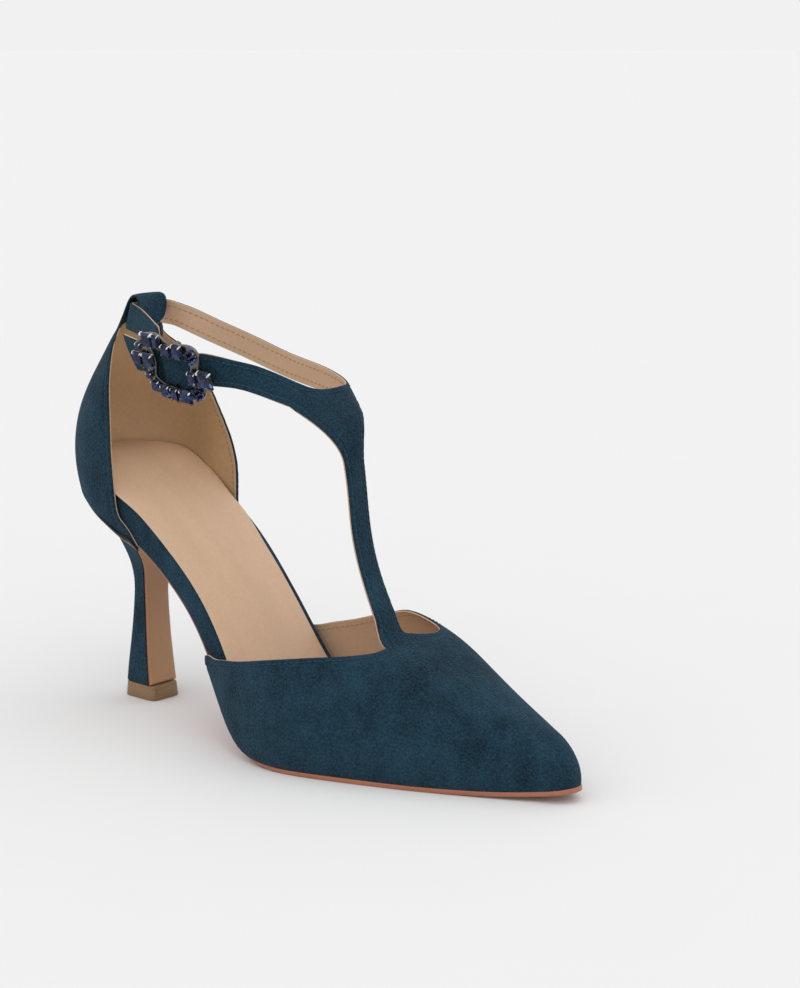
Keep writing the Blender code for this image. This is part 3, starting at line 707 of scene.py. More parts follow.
@dataclass(frozen=True)
class Bench:
    """Puts finished surfaces into the scene as pieces of the part."""

    lift_corner: tuple[float, float, float] = (12.9, -7.45, 0.0)
    crease: float = 48.0

    def to_part(self, points: Array) -> Array:
        """Return points of the last, in millimetres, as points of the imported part, in metres."""
        return points * MM + (np.array(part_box("top_lift")[0]) - np.array(self.lift_corner) * MM)

    def mesh(self, name: str, skin: Skin) -> bpy.types.Mesh:
        """Write a surface into a mesh, shaded smooth up to a crease.

        Args:
            name: The mesh's name.
            skin: The surface.

        Returns:
            The mesh.
        """
        mesh = bpy.data.meshes.new(name)
        faces = skin.faces.tolist() + [list(cap) for cap in skin.caps]
        mesh.from_pydata(self.to_part(skin.points).tolist(), [], faces)
        mesh.validate()
        mesh.shade_smooth()
        mesh.set_sharp_from_angle(angle=math.radians(self.crease))
        return mesh

    def piece(self, name: str, skin: Skin, finish: Finish, nodes: Sequence[str] = (),
              wall: float = 0.0, rim: Optional[Finish] = None) -> bpy.types.Object:
        """Make a surface a piece that rides on the part.

        Args:
            name: The piece's name.
            skin: The surface, outer side out.
            finish: Its finish.
            nodes: Solids that the piece stands for.
            wall: Thickness that is added inward, 0 for a closed surface.
            rim: Finish of the cut edges of the wall, if it is another one.

        Returns:
            The piece's object.
        """
        mesh = self.mesh(name, skin)
        mesh.materials.append(finish.material())
        obj = bpy.data.objects.new(name, mesh)
        bpy.context.scene.collection.objects.link(obj)
        if wall:
            mod = obj.modifiers.new("wall", "SOLIDIFY")
            mod.thickness, mod.offset = wall * MM, -1.0
            if rim is not None:
                mesh.materials.append(rim.material())
                mod.material_offset_rim = 1
        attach(obj, "root")
        if nodes:
            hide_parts(*nodes)
        LOG.info("%s: %d faces", name, len(mesh.polygons))
        return obj


@dataclass(frozen=True)
class Seam:
    """A row of lock stitches along an edge, and the channel that it pulls into the surface."""

    inset: float = 2.1
    pitch: float = 2.3
    length: float = 1.75
    radius: float = 0.19
    channel: float = 0.24
    spread: float = 0.5
    roll: float = 0.34
    roll_reach: float = 0.9
    clear: float = 0.93

    def relief(self, gap: Array) -> Array:
        """Work out how far the surface sinks at a distance from its edge.

        A bell-shaped channel follows the stitches, and the last bit before the edge rolls in by a square.

        Args:
            gap: Distance to the edge.

        Returns:
            The rise, which is below zero.
        """
        return -self.channel * bell(gap, self.inset, self.spread) - self.rolled(gap)

    def rolled(self, gap: Array) -> Array:
        """Return how far the last bit before the edge rolls in: the square of the share that is left."""
        return self.roll * np.clip(1 - gap / self.roll_reach, 0, 1) ** 2

    def path(self, line: Array, skin: Skin) -> tuple[Array, Array, Array]:
        """Lay the row of stitches on a surface.

        Each point of the edge is moved inward by the inset along the surface, points that come too near
        another stretch of the edge are dropped, and the rest is drawn on to the nearest tangent plane.

        Args:
            line: The edge, in close points.
            skin: The surface that carries the stitches.

        Returns:
            Middles, directions and surface normals of the stitches.
        """
        normals = skin.normals()
        inward = np.cross(normals[nearest(line, skin.points)[0]], unit(np.gradient(line, axis=0)))
        sides = [line + inward * self.inset * sign for sign in (1, -1)]
        row = min(sides, key=lambda side: nearest(side, skin.points)[1].mean())
        row = row[nearest(row, line)[1] > self.clear * self.inset]
        row = resample(row, self.pitch)
        index = nearest(row, skin.points)[0]
        normal = normals[index]
        row = row - normal * np.sum((row - skin.points[index]) * normal, 1)[:, None]
        return row, unit(np.gradient(row, axis=0)), normal

    def stitches(self, row: Array, ahead: Array, normal: Array) -> Skin:
        """Make the stitches: short arched threads of round section that dive in at both ends.

        Args:
            row: Middles of the stitches.
            ahead: Their directions.
            normal: Surface normals.

        Returns:
            All stitches as one surface of closed bodies.
        """
        place = np.linspace(-0.5, 0.5, 5)
        thick = self.radius * np.array([0.45, 0.9, 1.0, 0.9, 0.45])
        height = self.radius * (0.55 - 4.2 * place ** 2)
        turn = np.linspace(0, math.tau, 6, endpoint=False)
        aside = np.cross(normal, ahead)
        along = ahead[:, None, None] * (place * self.length)[None, :, None, None]
        up = normal[:, None, None] * (height[:, None] + thick[:, None] * np.cos(turn))[None, :, :, None]
        side = aside[:, None, None] * (thick[:, None] * np.sin(turn))[None, :, :, None]
        points = row[:, None, None] + along + up + side
        one = Skin.lofted(points[0])
        first = np.arange(len(row)) * len(one.points)
        faces = (one.faces[None] + first[:, None, None]).reshape(-1, 4)
        caps = [(np.array(cap) + f).tolist() for f in first for cap in one.caps]
        return Skin(points.reshape(-1, 3), faces, caps)


@dataclass(frozen=True)
class Last:
    """Sole line and plan outline of the last that all pieces are laid on."""

    rows: Table = Table("x z lateral medial base", (
        (-6, 92.8, -22.4, 22.4, 11.4), (8, 86.2, -23.6, 23.6, 10.9), (22, 79.0, -24.0, 24.0, 10.3),
        (38, 70.2, -24.0, 24.2, 9.8), (54, 59.4, -23.8, 23.8, 9.3), (70, 45.2, -24.6, 22.0, 9.0),
        (84, 29.2, -27.6, 21.6, 8.8), (96, 15.4, -32.2, 23.2, 8.2), (107, 6.2, -36.2, 26.4, 7.0),
        (118, 3.0, -38.6, 29.8, 6.0), (128, 2.3, -38.6, 32.4, 5.0), (140, 2.2, -36.0, 34.4, 4.5),
        (158, 2.2, -30.0, 34.6, 4.0), (176, 2.2, -23.2, 31.0, 4.0), (194, 2.5, -15.2, 25.4, 4.0),
        (210, 3.4, -7.6, 19.4, 4.0), (222, 4.9, -2.2, 14.4, 4.0), (229.6, 6.3, -0.4, 12.4, 4.0)))
    laps: Table = Table("x lap", ((78, 2.3), (100, 2.0), (120, 0.8), (135, 0.2), (150, 0.0), (165, 0.0),
                                  (180, 0.0), (195, 0.0), (210, 0.0), (221, 0.0), (229.6, 0.0)))
    sole_thick: float = 2.2
    heel_x: float = -2.5
    heel_round: float = 26.0
    toe_x: float = 229.6
    toe_round: float = 8.0
    toe_drop: float = 12.0
    vamp_x: float = 78.0
    wall_inset: float = 2.4
    rim_inset: float = 0.1
    nudge: float = 0.05

    def feather(self, x: Array) -> Array:
        """Return the height of the feather line, flat where the forefoot stands."""
        return np.maximum(self.rows.at("z", x), self.sole_thick)

    def slope(self, x: Array) -> Array:
        """Return the slope of the feather line."""
        x = np.asarray(x, float)
        return (self.feather(x + self.nudge) - self.feather(x - self.nudge)) / (2 * self.nudge)

    def above(self, x: Array, rise: Array | float) -> Array:
        """Return the height straight above x of a layer that lies at a distance above the feather line."""
        return self.feather(x) + rise * np.sqrt(1 + self.slope(x) ** 2)

    def layer(self, x: Array, rise: Array | float) -> tuple[Array, Array]:
        """Move points of the feather line along its normal.

        Args:
            x: Places along the last.
            rise: Distance above the line.

        Returns:
            The new x and z.
        """
        run = self.slope(x)
        length = np.sqrt(1 + run * run)
        return x - rise * run / length, self.feather(x) + rise / length

    def outline(self, x: Array) -> tuple[Array, Array]:
        """Read the plan outline of the sole, closed by quarter ellipses at both ends.

        Args:
            x: Places along the last.

        Returns:
            The middle and the half width.
        """
        lateral, medial = self.rows.at("lateral", x), self.rows.at("medial", x)
        heel = np.clip((self.heel_x + self.heel_round - x) / self.heel_round, 0, 1)
        toe = np.clip((x - self.toe_x + self.toe_round) / self.toe_round, 0, 1)
        return (lateral + medial) / 2, (medial - lateral) / 2 * np.sqrt((1 - heel ** 2) * (1 - toe ** 2))

    def board_half(self, x: Array) -> Array:
        """Read the half width of the insole board: full at the waist, inside the wall under the vamp.

        Args:
            x: Places along the last.

        Returns:
            The half width.
        """
        lap = self.laps.at("lap", np.maximum(x, self.vamp_x))
        inset = np.clip(self.wall_inset - lap, self.rim_inset, self.wall_inset)
        return self.outline(x)[1] - np.where(x < self.vamp_x, self.rim_inset, inset)

    def bar_rings(self, x: Array, half: Array, low: Array, high: Array, corner: Array) -> Array:
        """Carry a rounded rectangle along the sole line.

        Each ring is the rectangle between plus and minus half across and low to high above the line, with
        quarter circles of the corner radius.

        Args:
            x: Places of the rings.
            half: Half widths.
            low: Lower faces above the feather line.
            high: Upper faces above the feather line.
            corner: Corner radii.

        Returns:
            Points by ring and place in the ring, wound so that lofted rings face out.
        """
        turn = np.linspace(0, np.pi / 2, 6)
        flat = np.linspace(0, 1, 9)[1:-1]
        wide, rise = [], []
        for k in range(4):
            side, up = ((1, 1), (-1, 1), (-1, -1), (1, -1))[k]
            angle = turn + k * np.pi / 2
            mid = (high if up > 0 else low) - up * corner
            wide.append((side * (half - corner))[:, None] + corner[:, None] * np.cos(angle))
            rise.append(mid[:, None] + corner[:, None] * np.sin(angle))
            if k % 2 == 0:
                run = side * (half - corner)
                wide.append(run[:, None] * (1 - 2 * flat))
                rise.append(np.repeat((high if up > 0 else low)[:, None], len(flat), 1))
        wide, rise = np.concatenate(wide, 1), np.concatenate(rise, 1)
        px, pz = self.layer(np.repeat(x[:, None], wide.shape[1], 1), rise)
        return np.stack([px, self.outline(x)[0][:, None] + wide, pz], -1)


@dataclass(frozen=True)
class Bottom:
    """Outsole, suede-wrapped insole board and sock lining."""

    last: Last
    breast_x: float = 38.0
    sole_top: float = -0.4
    waist_thin: float = 1.1
    waist_inset: float = 1.2
    board_low: float = -0.3
    sock_top: float = 0.65
    sock_thick: float = 0.6
    sock_crown: float = 0.35
    seat_x: float = 14.0
    seat_back: float = -4.3
    seat_middle: float = 22.0
    seat_half: float = 26.0
    seat_flat: float = 0.0125
    seat_sink: float = 5.0
    lateral_inset: float = 0.3
    medial_inset: float = 3.0
    medial_rise: float = 3.4
    lateral_rise: float = 1.5
    breast_gap: float = 0.8
    toe_gap: float = 0.15
    toe_fan: float = 22.0
    sole_proud: float = 0.2
    sole_corner: float = 0.5
    waist_fade: tuple[float, float] = (128.0, 24.0)
    thin_fade: tuple[float, float] = (104.0, 34.0)
    board_fan: float = 24.0
    board_toe: float = 4.6
    board_corner: float = 1.3
    sink_reach: float = 16.0
    medial_span: tuple[float, ...] = (0.0, 24.0, 112.0, 30.0)
    lateral_span: tuple[float, ...] = (-4.0, 16.0, 64.0, 34.0)
    rim_inset: float = 0.8
    inset_span: tuple[float, ...] = (42.0, 20.0, 142.0, 24.0)
    edge_starts: tuple[float, float] = (26.0, 30.0)
    edge_reach: float = 18.0
    edge_turn: float = 0.3

    def outsole(self) -> Skin:
        """Carry the outsole's rounded section from the heel breast to the toe.

        The section is thinner and drawn in at the waist, and its rings draw together to the toe by a sine.

        Returns:
            The closed surface.
        """
        last = self.last
        tip = last.toe_x - self.toe_gap - self.toe_fan * (1 - np.sin(np.linspace(0, np.pi / 2, 40)))
        even = np.linspace(self.breast_x + self.breast_gap, last.toe_x - self.toe_fan - 0.5, 150)
        x = np.concatenate([even, tip])
        start, reach = self.waist_fade
        drawn = self.waist_inset * smooth((start - x) / reach)
        half = np.maximum(last.outline(x)[1] + self.sole_proud - drawn, 1.0)
        start, reach = self.thin_fade
        low = self.waist_thin * smooth((start - x) / reach) - last.sole_thick
        high = np.full_like(x, self.sole_top)
        corner = np.minimum(np.minimum(self.sole_corner, (high - low) * 0.42), half * 0.5)
        return Skin.lofted(last.bar_rings(x, half, low, high, corner))

    def board(self) -> Skin:
        """Carry the board's rounded section from the seat to the toe, sunk at the seat and tilted.

        Returns:
            The closed surface.
        """
        last = self.last
        back = last.heel_x + self.board_fan * (1 - np.cos(np.linspace(0.05, np.pi / 2, 30)))
        even = np.linspace(last.heel_x + self.board_fan + 1.0, last.toe_x - self.board_toe, 150)
        x = np.concatenate([back, even])
        half = last.board_half(x)
        corner = np.minimum(self.board_corner, half * 0.45)
        high = last.rows.at("base", x) - self.seat_sink * smooth((self.seat_x - x) / self.sink_reach)
        rings = last.bar_rings(x, half, np.full_like(x, self.board_low), high, corner)
        upper = rings[:, :rings.shape[1] // 2]
        across = (upper[..., 1] - last.outline(x)[0][:, None]) / half[:, None]
        upper[..., 2] += self.tilt(upper[..., 0], across)
        return Skin.lofted(rings)

    def tilt(self, x: Array, across: Array) -> Array:
        """Work out how far the upper face climbs.

        It climbs evenly over to the medial side, and at the seat to the lateral side too. Both climbs ease
        in and out along the sole.

        Args:
            x: Places along the last.
            across: Places across, from the lateral edge (-1) to the medial edge (1).

        Returns:
            The climb at each point.
        """
        medial = self.medial_rise * between(x, *self.medial_span)
        lateral = self.lateral_rise * between(x, *self.lateral_span)
        return medial * (1 + across) / 2 + lateral * (1 - across) / 2

    def sock(self) -> Skin:
        """Lay the sock on the board with a slight crown across.

        Behind the seat's first station the sock flattens out by a square and ends in a half ellipse at the
        counter's lining. Ahead of the counter its two edges ease over to their insets from the board's rim.

        Returns:
            The sock's upper face.
        """
        last = self.last
        x = np.linspace(self.seat_x, last.toe_x - 8, 190)
        px, pz = last.layer(x, last.rows.at("base", x) + self.sock_top)
        turn = np.linspace(0.03, np.pi / 2, 60)
        reach = self.seat_middle - self.seat_back
        back = self.seat_middle - reach * np.cos(turn)
        back = back[back < px[0] - 0.3]
        drop = (pz[1] - pz[0]) / (px[1] - px[0])
        station = np.concatenate([back - px[0] + x[0], x])
        behind = pz[0] + (back - px[0]) * drop - self.seat_flat * (back - px[0]) ** 2
        px, pz = np.concatenate([back, px]), np.concatenate([behind, pz])
        heel = np.sqrt(1 - np.clip((self.seat_middle - px) / reach, 0, 1) ** 2)
        middle, rim = last.outline(station)[0], last.board_half(np.maximum(station, self.seat_middle))
        inset = self.rim_inset + (self.medial_inset - self.rim_inset) * between(station, *self.inset_span)
        sides = []
        for sign, edge, start in zip((-1, 1), (rim - self.lateral_inset, rim - inset), self.edge_starts):
            ease = smooth((px - start) / self.edge_reach)
            wide = self.seat_half + (sign * middle + edge - self.seat_half) * ease
            sides.append(sign * wide * heel)
        across = np.sin(np.linspace(-np.pi / 2, np.pi / 2, 41))
        turned = np.clip(np.abs(across) * 14 - 13, 0, 1) ** 2
        crown = self.sock_crown * (1 - across ** 2) - self.edge_turn * turned
        y = sides[0][:, None] + (sides[1] - sides[0])[:, None] * (across + 1) / 2
        z = pz[:, None] + crown * heel[:, None] + self.tilt(px[:, None], across)
        return Skin.from_grid(np.stack([np.repeat(px[:, None], len(across), 1), y, z], -1))

    def build(self, bench: Bench) -> None:
        """Make the three pieces.

        Args:
            bench: Where the pieces are put together.
        """
        bench.piece("outsole_leather", self.outsole(), SOLE, ["outsole"])
        bench.piece("waist_cover", self.board(), SUEDE, ["insole_base"])
        bench.piece("sock_lining", self.sock(), SOCK, ["sock"], wall=self.sock_thick, rim=CUT_EDGE)


@dataclass(frozen=True)
class Heel:
    """Covered heel with its breast, top lift and the metal strip round the seat."""

    last: Last
    rows: Table = Table("step back_x back_z front_x front_z half square", (
        (0, 12.4, 6.3, 27.0, 6.3, 7.3, 5.0), (1, 13.2, 14.0, 26.2, 14.0, 7.0, 4.6),
        (2, 15.0, 27.0, 25.2, 27.0, 6.5, 4.0), (3, 16.3, 40.0, 24.7, 40.0, 6.2, 3.4),
        (4, 16.2, 49.0, 24.8, 47.0, 6.4, 3.0), (5, 14.0, 57.0, 26.0, 52.8, 7.6, 2.8),
        (6, 10.2, 65.0, 28.2, 57.4, 10.4, 2.6), (7, 5.6, 74.0, 31.0, 61.6, 14.4, 2.5),
        (8, 1.2, 83.0, 34.2, 65.6, 19.2, 2.4)))
    breast_x: float = 38.0
    seat_half: float = 23.2
    gap: float = 0.3
    breast_thick: float = 1.1
    lift_low: tuple[float, float] = (12.9, -7.45)
    lift_high: tuple[float, float] = (30.4, 7.45)
    lift_top: float = 6.0
    seat_flare: float = 1.6
    strip_low: float = -2.3
    strip_tall: float = 2.3
    strip_thin: float = 0.3
    strip_lens: tuple[tuple[float, ...], ...] = ((6.0, 5.5, 0.7), (9.0, 8.0, 1.2))
    strip_tip: float = 2.0
    strip_back: float = 0.7
    strip_lean: float = 0.9
    strip_thick: float = 0.7
    strip_ends: tuple[float, float] = (43.0, 48.0)
    strip_middle: tuple[float, float] = (20.0, 0.0)
    strip_point: float = 6.0
    strip_bow: float = 0.3
    tip_reach: float = 10.0
    back_fade: tuple[float, float] = (40.0, 25.0)
    seat_gap: float = 0.2
    seat_inset: float = 0.4
    seat_square: float = 2.3
    leave_pull: float = 0.6
    breast_share: float = 0.6
    breast_inset: float = 0.25
    breast_roll: float = 0.25
    lift_square: float = 0.32

    def section(self, back_x: Array, back_z: Array, front_x: Array, front_z: Array, half: Array,
                square: Array) -> Array:
        """Draw heel sections: half superellipses, flat at the breast, tilted between two points.

        Args:
            back_x: x of the back of each section.
            back_z: z of the back.
            front_x: x of the breast.
            front_z: z of the breast.
            half: Half width.
            square: Exponent of the superellipse.

        Returns:
            Points by section and place in the section.
        """
        angle = np.linspace(0, np.pi, 73)
        power = 2 / square[:, None]
        reach = np.abs(np.sin(angle)) ** power
        y = -half[:, None] * signed_power(np.cos(angle), power)
        x = front_x[:, None] - (front_x - back_x)[:, None] * reach
        z = front_z[:, None] + (back_z - front_z)[:, None] * reach
        return np.stack([x, y, z], -1)

    def column(self) -> Skin:
        """Loft the heel from the lift to the seat.

        The last stretch is a Bezier curve on to the sole line, where the heel flares out round the back by
        the root of a sine.

        Returns:
            The closed surface.
        """
        last = self.last
        step = np.linspace(0, 8, 90)
        rings = self.section(*(self.rows.at(name, step) for name in self.rows.names[1:]))
        top = (last.heel_x + self.seat_gap, 0, self.breast_x, 0, self.seat_half, self.seat_square)
        seat = self.section(*(np.array([value]) for value in top))[0]
        half = np.maximum(last.outline(seat[:, 0])[1] - self.seat_inset, 0)
        seat[:, 1] = np.sign(seat[:, 1]) * np.minimum(np.abs(seat[:, 1]), half)
        seat[:, 0], seat[:, 2] = last.layer(seat[:, 0], -self.gap)
        turn = np.linspace(0, np.pi, len(seat))
        flare = self.seat_flare * np.sqrt(np.abs(np.sin(turn)))
        seat[:, 0] -= flare * np.sin(turn)
        seat[:, 1] -= flare * np.cos(turn)
        leave = rings[-1] + (rings[-1] - rings[-2]) / (step[1] - step[0]) / 3 * self.leave_pull
        arrive = seat - (seat - rings[-1]) / 3
        neck = bezier(rings[-1], leave, arrive, seat, np.linspace(0, 1, 12)[1:])
        return Skin.lofted(np.concatenate([rings, neck]), flip=True)

    def breast(self) -> Skin:
        """Carry the breast cover along the heel's front line, in front of it by the gap.

        Returns:
            The cover's outer face.
        """
        step = np.linspace(0, 8, 70)
        front = np.stack([self.rows.at(name, step) for name in ("front_x", "front_z", "half")], -1)
        seat = np.array([*self.last.layer(np.array(self.breast_x), -self.gap), self.seat_half])
        end = front[-1] + (seat - front[-1]) * np.linspace(0, self.breast_share, 9)[1:, None]
        front = np.concatenate([front, end])
        run = unit(np.gradient(front[:, :2], axis=0))
        across = np.linspace(-1, 1, 15)
        out = self.gap + self.breast_thick - self.breast_roll * across ** 6
        x = front[:, :1] + run[:, 1:] * out
        z = front[:, 1:2] - run[:, :1] * out
        return Skin.from_grid(np.stack([x, (front[:, 2:] - self.breast_inset) * across, z], -1), flip=True)

    def lift(self) -> Skin:
        """Stack rounded rectangles for the top lift, drawn in at its upper and lower rim.

        Returns:
            The closed surface.
        """
        turn = np.linspace(0, math.tau, 64, endpoint=False)
        inset = np.array([0.4, 0.1, 0.0, 0.26, 0.33, 0.3, 0.4, 0.5, 0.8])
        height = np.array([0.0, 0.16, 0.45, 4.2, 4.35, 4.5, 5.5, 5.85, 6.0]) / 6.0 * self.lift_top
        low, high = np.array(self.lift_low), np.array(self.lift_high)
        half = (high - low) / 2 - inset[:, None]
        x = (low[0] + high[0]) / 2 + half[:, :1] * signed_power(np.cos(turn), self.lift_square)
        y = half[:, 1:] * signed_power(np.sin(turn), self.lift_square)
        return Skin.lofted(np.stack([x, y, np.repeat(height[:, None], len(turn), 1)], -1), flip=True)

    def strip(self) -> Skin:
        """Carry the strip's bowed section round the seat, leaning in downwards.

        Its height is a low line round the back that swells by a bell curve on each side before the pointed
        end, where its lower edge climbs to meet the upper one.

        Returns:
            The strip's outer face.
        """
        last = self.last
        turn = np.linspace(np.pi / 2, 0, 70)
        back = last.heel_x + last.heel_round * (1 - np.cos(turn))
        sides = [np.concatenate([np.linspace(end, back[0], 50)[:-1], back]) for end in self.strip_ends]
        x = np.concatenate([sides[0], sides[1][::-1][1:]])
        side = np.concatenate([-np.ones(len(sides[0])), np.ones(len(sides[1]) - 1)])
        middle, half = last.outline(x)
        path = np.stack([x, middle + side * half], -1)
        ahead = unit(np.gradient(path, axis=0))
        out = np.stack([-ahead[:, 1], ahead[:, 0]], -1)
        out *= np.sign(np.sum(out * (path - np.array(self.strip_middle)), 1))[:, None]
        run = walk(path)
        end = np.minimum(run, run[-1] - run)
        spot, wide, tall = (np.where(side < 0, a, b) for a, b in zip(*self.strip_lens))
        taper = np.clip(end / self.strip_point, 0.03, 1) ** 0.8
        taper = (taper * (self.strip_thin + tall * bell(end, spot, wide)))[:, None]
        low = self.strip_low + self.strip_tip * (1 - smooth(end / self.tip_reach))
        share = np.linspace(0, 1, 9)
        rise = low[:, None] + self.strip_tall * taper * share
        bow = self.strip_bow * taper * (1 - (2 * share - 1) ** 2)
        reach = self.gap + 0.1 + self.strip_thick + bow - self.strip_lean * taper * (1 - share)
        start, fade = self.back_fade
        reach += self.strip_back * smooth((end - start) / fade)[:, None]
        px = np.repeat(path[:, :1], len(share), 1)
        pz = last.above(px, rise)
        grid = np.stack([px + out[:, :1] * reach, path[:, 1:] + out[:, 1:] * reach, pz], -1)
        return Skin.from_grid(grid)

    def build(self, bench: Bench) -> None:
        """Make the heel's pieces.

        Args:
            bench: Where the pieces are put together.
        """
        bench.piece("heel_cover", self.column(), SUEDE, ["heel"])
        bench.piece("breast_cover", self.breast(), BREAST, ["heel_breast"],
                    wall=self.breast_thick, rim=SOLE)
        bench.piece("heel_tip", self.lift(), LIFT, ["top_lift"])
        bench.piece("seat_strip", self.strip(), DARKENED_STRIP_PLATING, ["heel_rand"], wall=self.strip_thick)


@dataclass(frozen=True)
class Counter:
    """Heel counter with two wings and a tab that folds over the ankle strap, and its lining."""

    last: Last
    rows: Table = Table("r lat_x lat_z med_x med_z back_x back_z", (
        (0.00, 41.8, 67.6, 47.5, 66.5, -5.0, 95.0), (0.07, 35.6, 71.8, 46.7, 73.0, -5.6, 98.3),
        (0.15, 32.4, 76.5, 45.8, 80.0, -6.1, 102.0), (0.30, 31.7, 88.0, 44.6, 91.0, -6.3, 109.0),
        (0.50, 31.0, 106.0, 40.2, 104.5, -3.6, 120.0), (0.70, 29.0, 125.0, 32.4, 120.0, 3.2, 132.0),
        (0.85, 25.5, 139.0, 25.5, 134.0, 9.8, 142.0), (1.00, 20.5, 149.5, 19.0, 148.0, 15.5, 151.5)))
    girth: Table = Table("z half depth", (
        (60, 25.8, 28), (75, 26.4, 28), (95, 28.0, 28), (115, 27.5, 27), (135, 24.5, 25), (150, 20.5, 22),
        (162, 19.0, 20)))
    tab: Table = Table("step x z half bow", (
        (1, 17.4, 155.2, 9.4, 2.6), (2, 18.8, 158.8, 8.2, 2.0), (3, 20.2, 161.0, 7.6, 1.8),
        (4, 22.2, 162.0, 7.5, 1.8), (5, 24.2, 161.7, 7.5, 1.9), (6, 25.4, 160.2, 7.5, 2.0),
        (7, 25.8, 156.8, 7.4, 2.0), (8, 25.2, 152.8, 6.8, 1.8), (9, 24.8, 150.8, 5.2, 1.2),
        (10, 24.6, 149.6, 2.8, 0.5)))
    foot: float = -1.7
    arches: tuple[tuple[float, ...], ...] = ((37.0, 5.5, 2.2), (39.0, 9.0, 2.6))
    foot_pull: float = 1.0
    flap_narrow: float = 0.86
    suede_thick: float = 0.8
    lining_at: float = 0.86
    lining_thick: float = 0.35
    stitch_step: float = 1.4
    wall_rows: int = 100
    tab_rows: int = 56
    seam: Seam = Seam()

    def wall_points(self, r: Array, q: Array) -> Array:
        """Return points of the outer face.

        Across, each row is a quarter ellipse from the back line and a straight stretch to the wing's
        front edge; upwards, the rows climb from the seat to the tab. The foot is pulled in to the board and
        arches over the metal strip.

        Args:
            r: Rise from the seat (0) to the tab (1).
            q: Place across, from the lateral edge (-1) to the medial edge (1).

        Returns:
            The points.
        """
        near = q < 0
        edge_x = np.where(near, self.rows.at("lat_x", r), self.rows.at("med_x", r))
        edge_z = np.where(near, self.rows.at("lat_z", r), self.rows.at("med_z", r))
        back_x, back_z = self.rows.at("back_x", r), self.rows.at("back_z", r)
        depth = self.girth.at("depth", edge_z)
        over = np.maximum(edge_x - back_x - depth, 0)
        quarter = np.arccos(np.clip(1 - (edge_x - back_x) / depth, -1, 1))
        turn = np.abs(q) * np.where(over > 0, np.pi / 2 + over / depth, quarter)
        curl = np.minimum(turn, np.pi / 2)
        x = back_x + depth * (1 - np.cos(curl)) + depth * np.maximum(turn - np.pi / 2, 0)
        share = np.clip((x - back_x) / (edge_x - back_x), 0, 1)
        spot, wide, arch = (np.where(near, a, b) for a, b in zip(*self.arches))
        foot = self.foot + arch * bell(x, spot, wide)
        seat = self.last.above(np.maximum(x, self.last.heel_x), foot)
        first = dict(zip(self.rows.names, self.rows.rows[0]))
        foot_z = np.where(near, first["lat_z"], first["med_z"])
        foot_line = first["back_z"] + (foot_z - first["back_z"]) * share
        z = back_z + (edge_z - back_z) * share + (1 - r) ** 4 * (seat - foot_line)
        half = self.girth.at("half", z) - self.foot_pull * (1 - r) ** 8
        return np.stack([x, np.sign(q) * half * np.sin(curl), z], -1)

    def grid(self) -> Array:
        """Read a cubic up every column through the wall's and the tab's rows.

        Returns:
            Points by place across and row.
        """
        even = np.linspace(-1, 1, 121)
        q = 0.6 * even + 0.4 * np.sin(even * np.pi / 2)
        r = np.linspace(0, 1, 14) ** 1.15
        knots = [self.wall_points(np.full_like(q, v), q) for v in r]
        for step in np.linspace(1, 10, 13):
            x, z, half, bow = (float(self.tab.at(n, np.array(step))) for n in ("x", "z", "half", "bow"))
            narrow = 1 - (1 - self.flap_narrow) * smooth(np.array((step - 2) / 3))
            y = half * q * np.where(q > 0, narrow, 1.0)
            knots.append(np.stack([x + bow * q ** 2, y, np.full_like(q, z)], -1))
        knots = np.stack(knots)
        run = np.concatenate([[0], np.cumsum(np.linalg.norm(np.diff(knots, axis=0), axis=-1).mean(1))])
        top = run[len(r) - 1]
        wall, tab = np.linspace(0, top, self.wall_rows), np.linspace(top, run[-1], self.tab_rows)
        return cubic(run, knots, np.concatenate([wall, tab[1:]])).transpose(1, 0, 2)

    def build(self, bench: Bench) -> None:
        """Make the suede, the lining and the stitches of the counter.

        Args:
            bench: Where the pieces are put together.
        """
        grid = self.grid()
        base = Skin.from_grid(grid[::-1])
        line = np.concatenate([grid[0], grid[1:-1, -1], grid[-1, ::-1]])
        gap = nearest(base.points, resample(line, 0.4))[1]
        sewn = np.tile(np.arange(grid.shape[1]) < self.wall_rows, len(grid))
        suede = base.raised(np.where(sewn, self.seam.relief(gap), -self.seam.rolled(gap)))
        bench.piece("counter_suede", suede, SUEDE, ["counter"], wall=self.suede_thick)
        lining = Skin.from_grid(grid[-2::-1, :self.wall_rows]).raised(-self.lining_at)
        bench.piece("counter_lining", lining, LINING, wall=self.lining_thick)
        inside = lining.inside(self.lining_thick)
        for side, label in ((0, "lateral"), (-1, "medial")):
            edge = resample(grid[side, 4:self.wall_rows - 6], 0.5)
            row = self.seam.path(edge, suede)
            bench.piece(f"counter_stitches_{label}", self.seam.stitches(*row), BLUE_THREAD)
            outward = unit(np.array([0.0, edge[:, 1].mean(), 0.0]))
            row = self.seam.path(edge - self.stitch_step * outward, inside)
            bench.piece(f"counter_lining_stitches_{label}", self.seam.stitches(*row), TAN_THREAD)


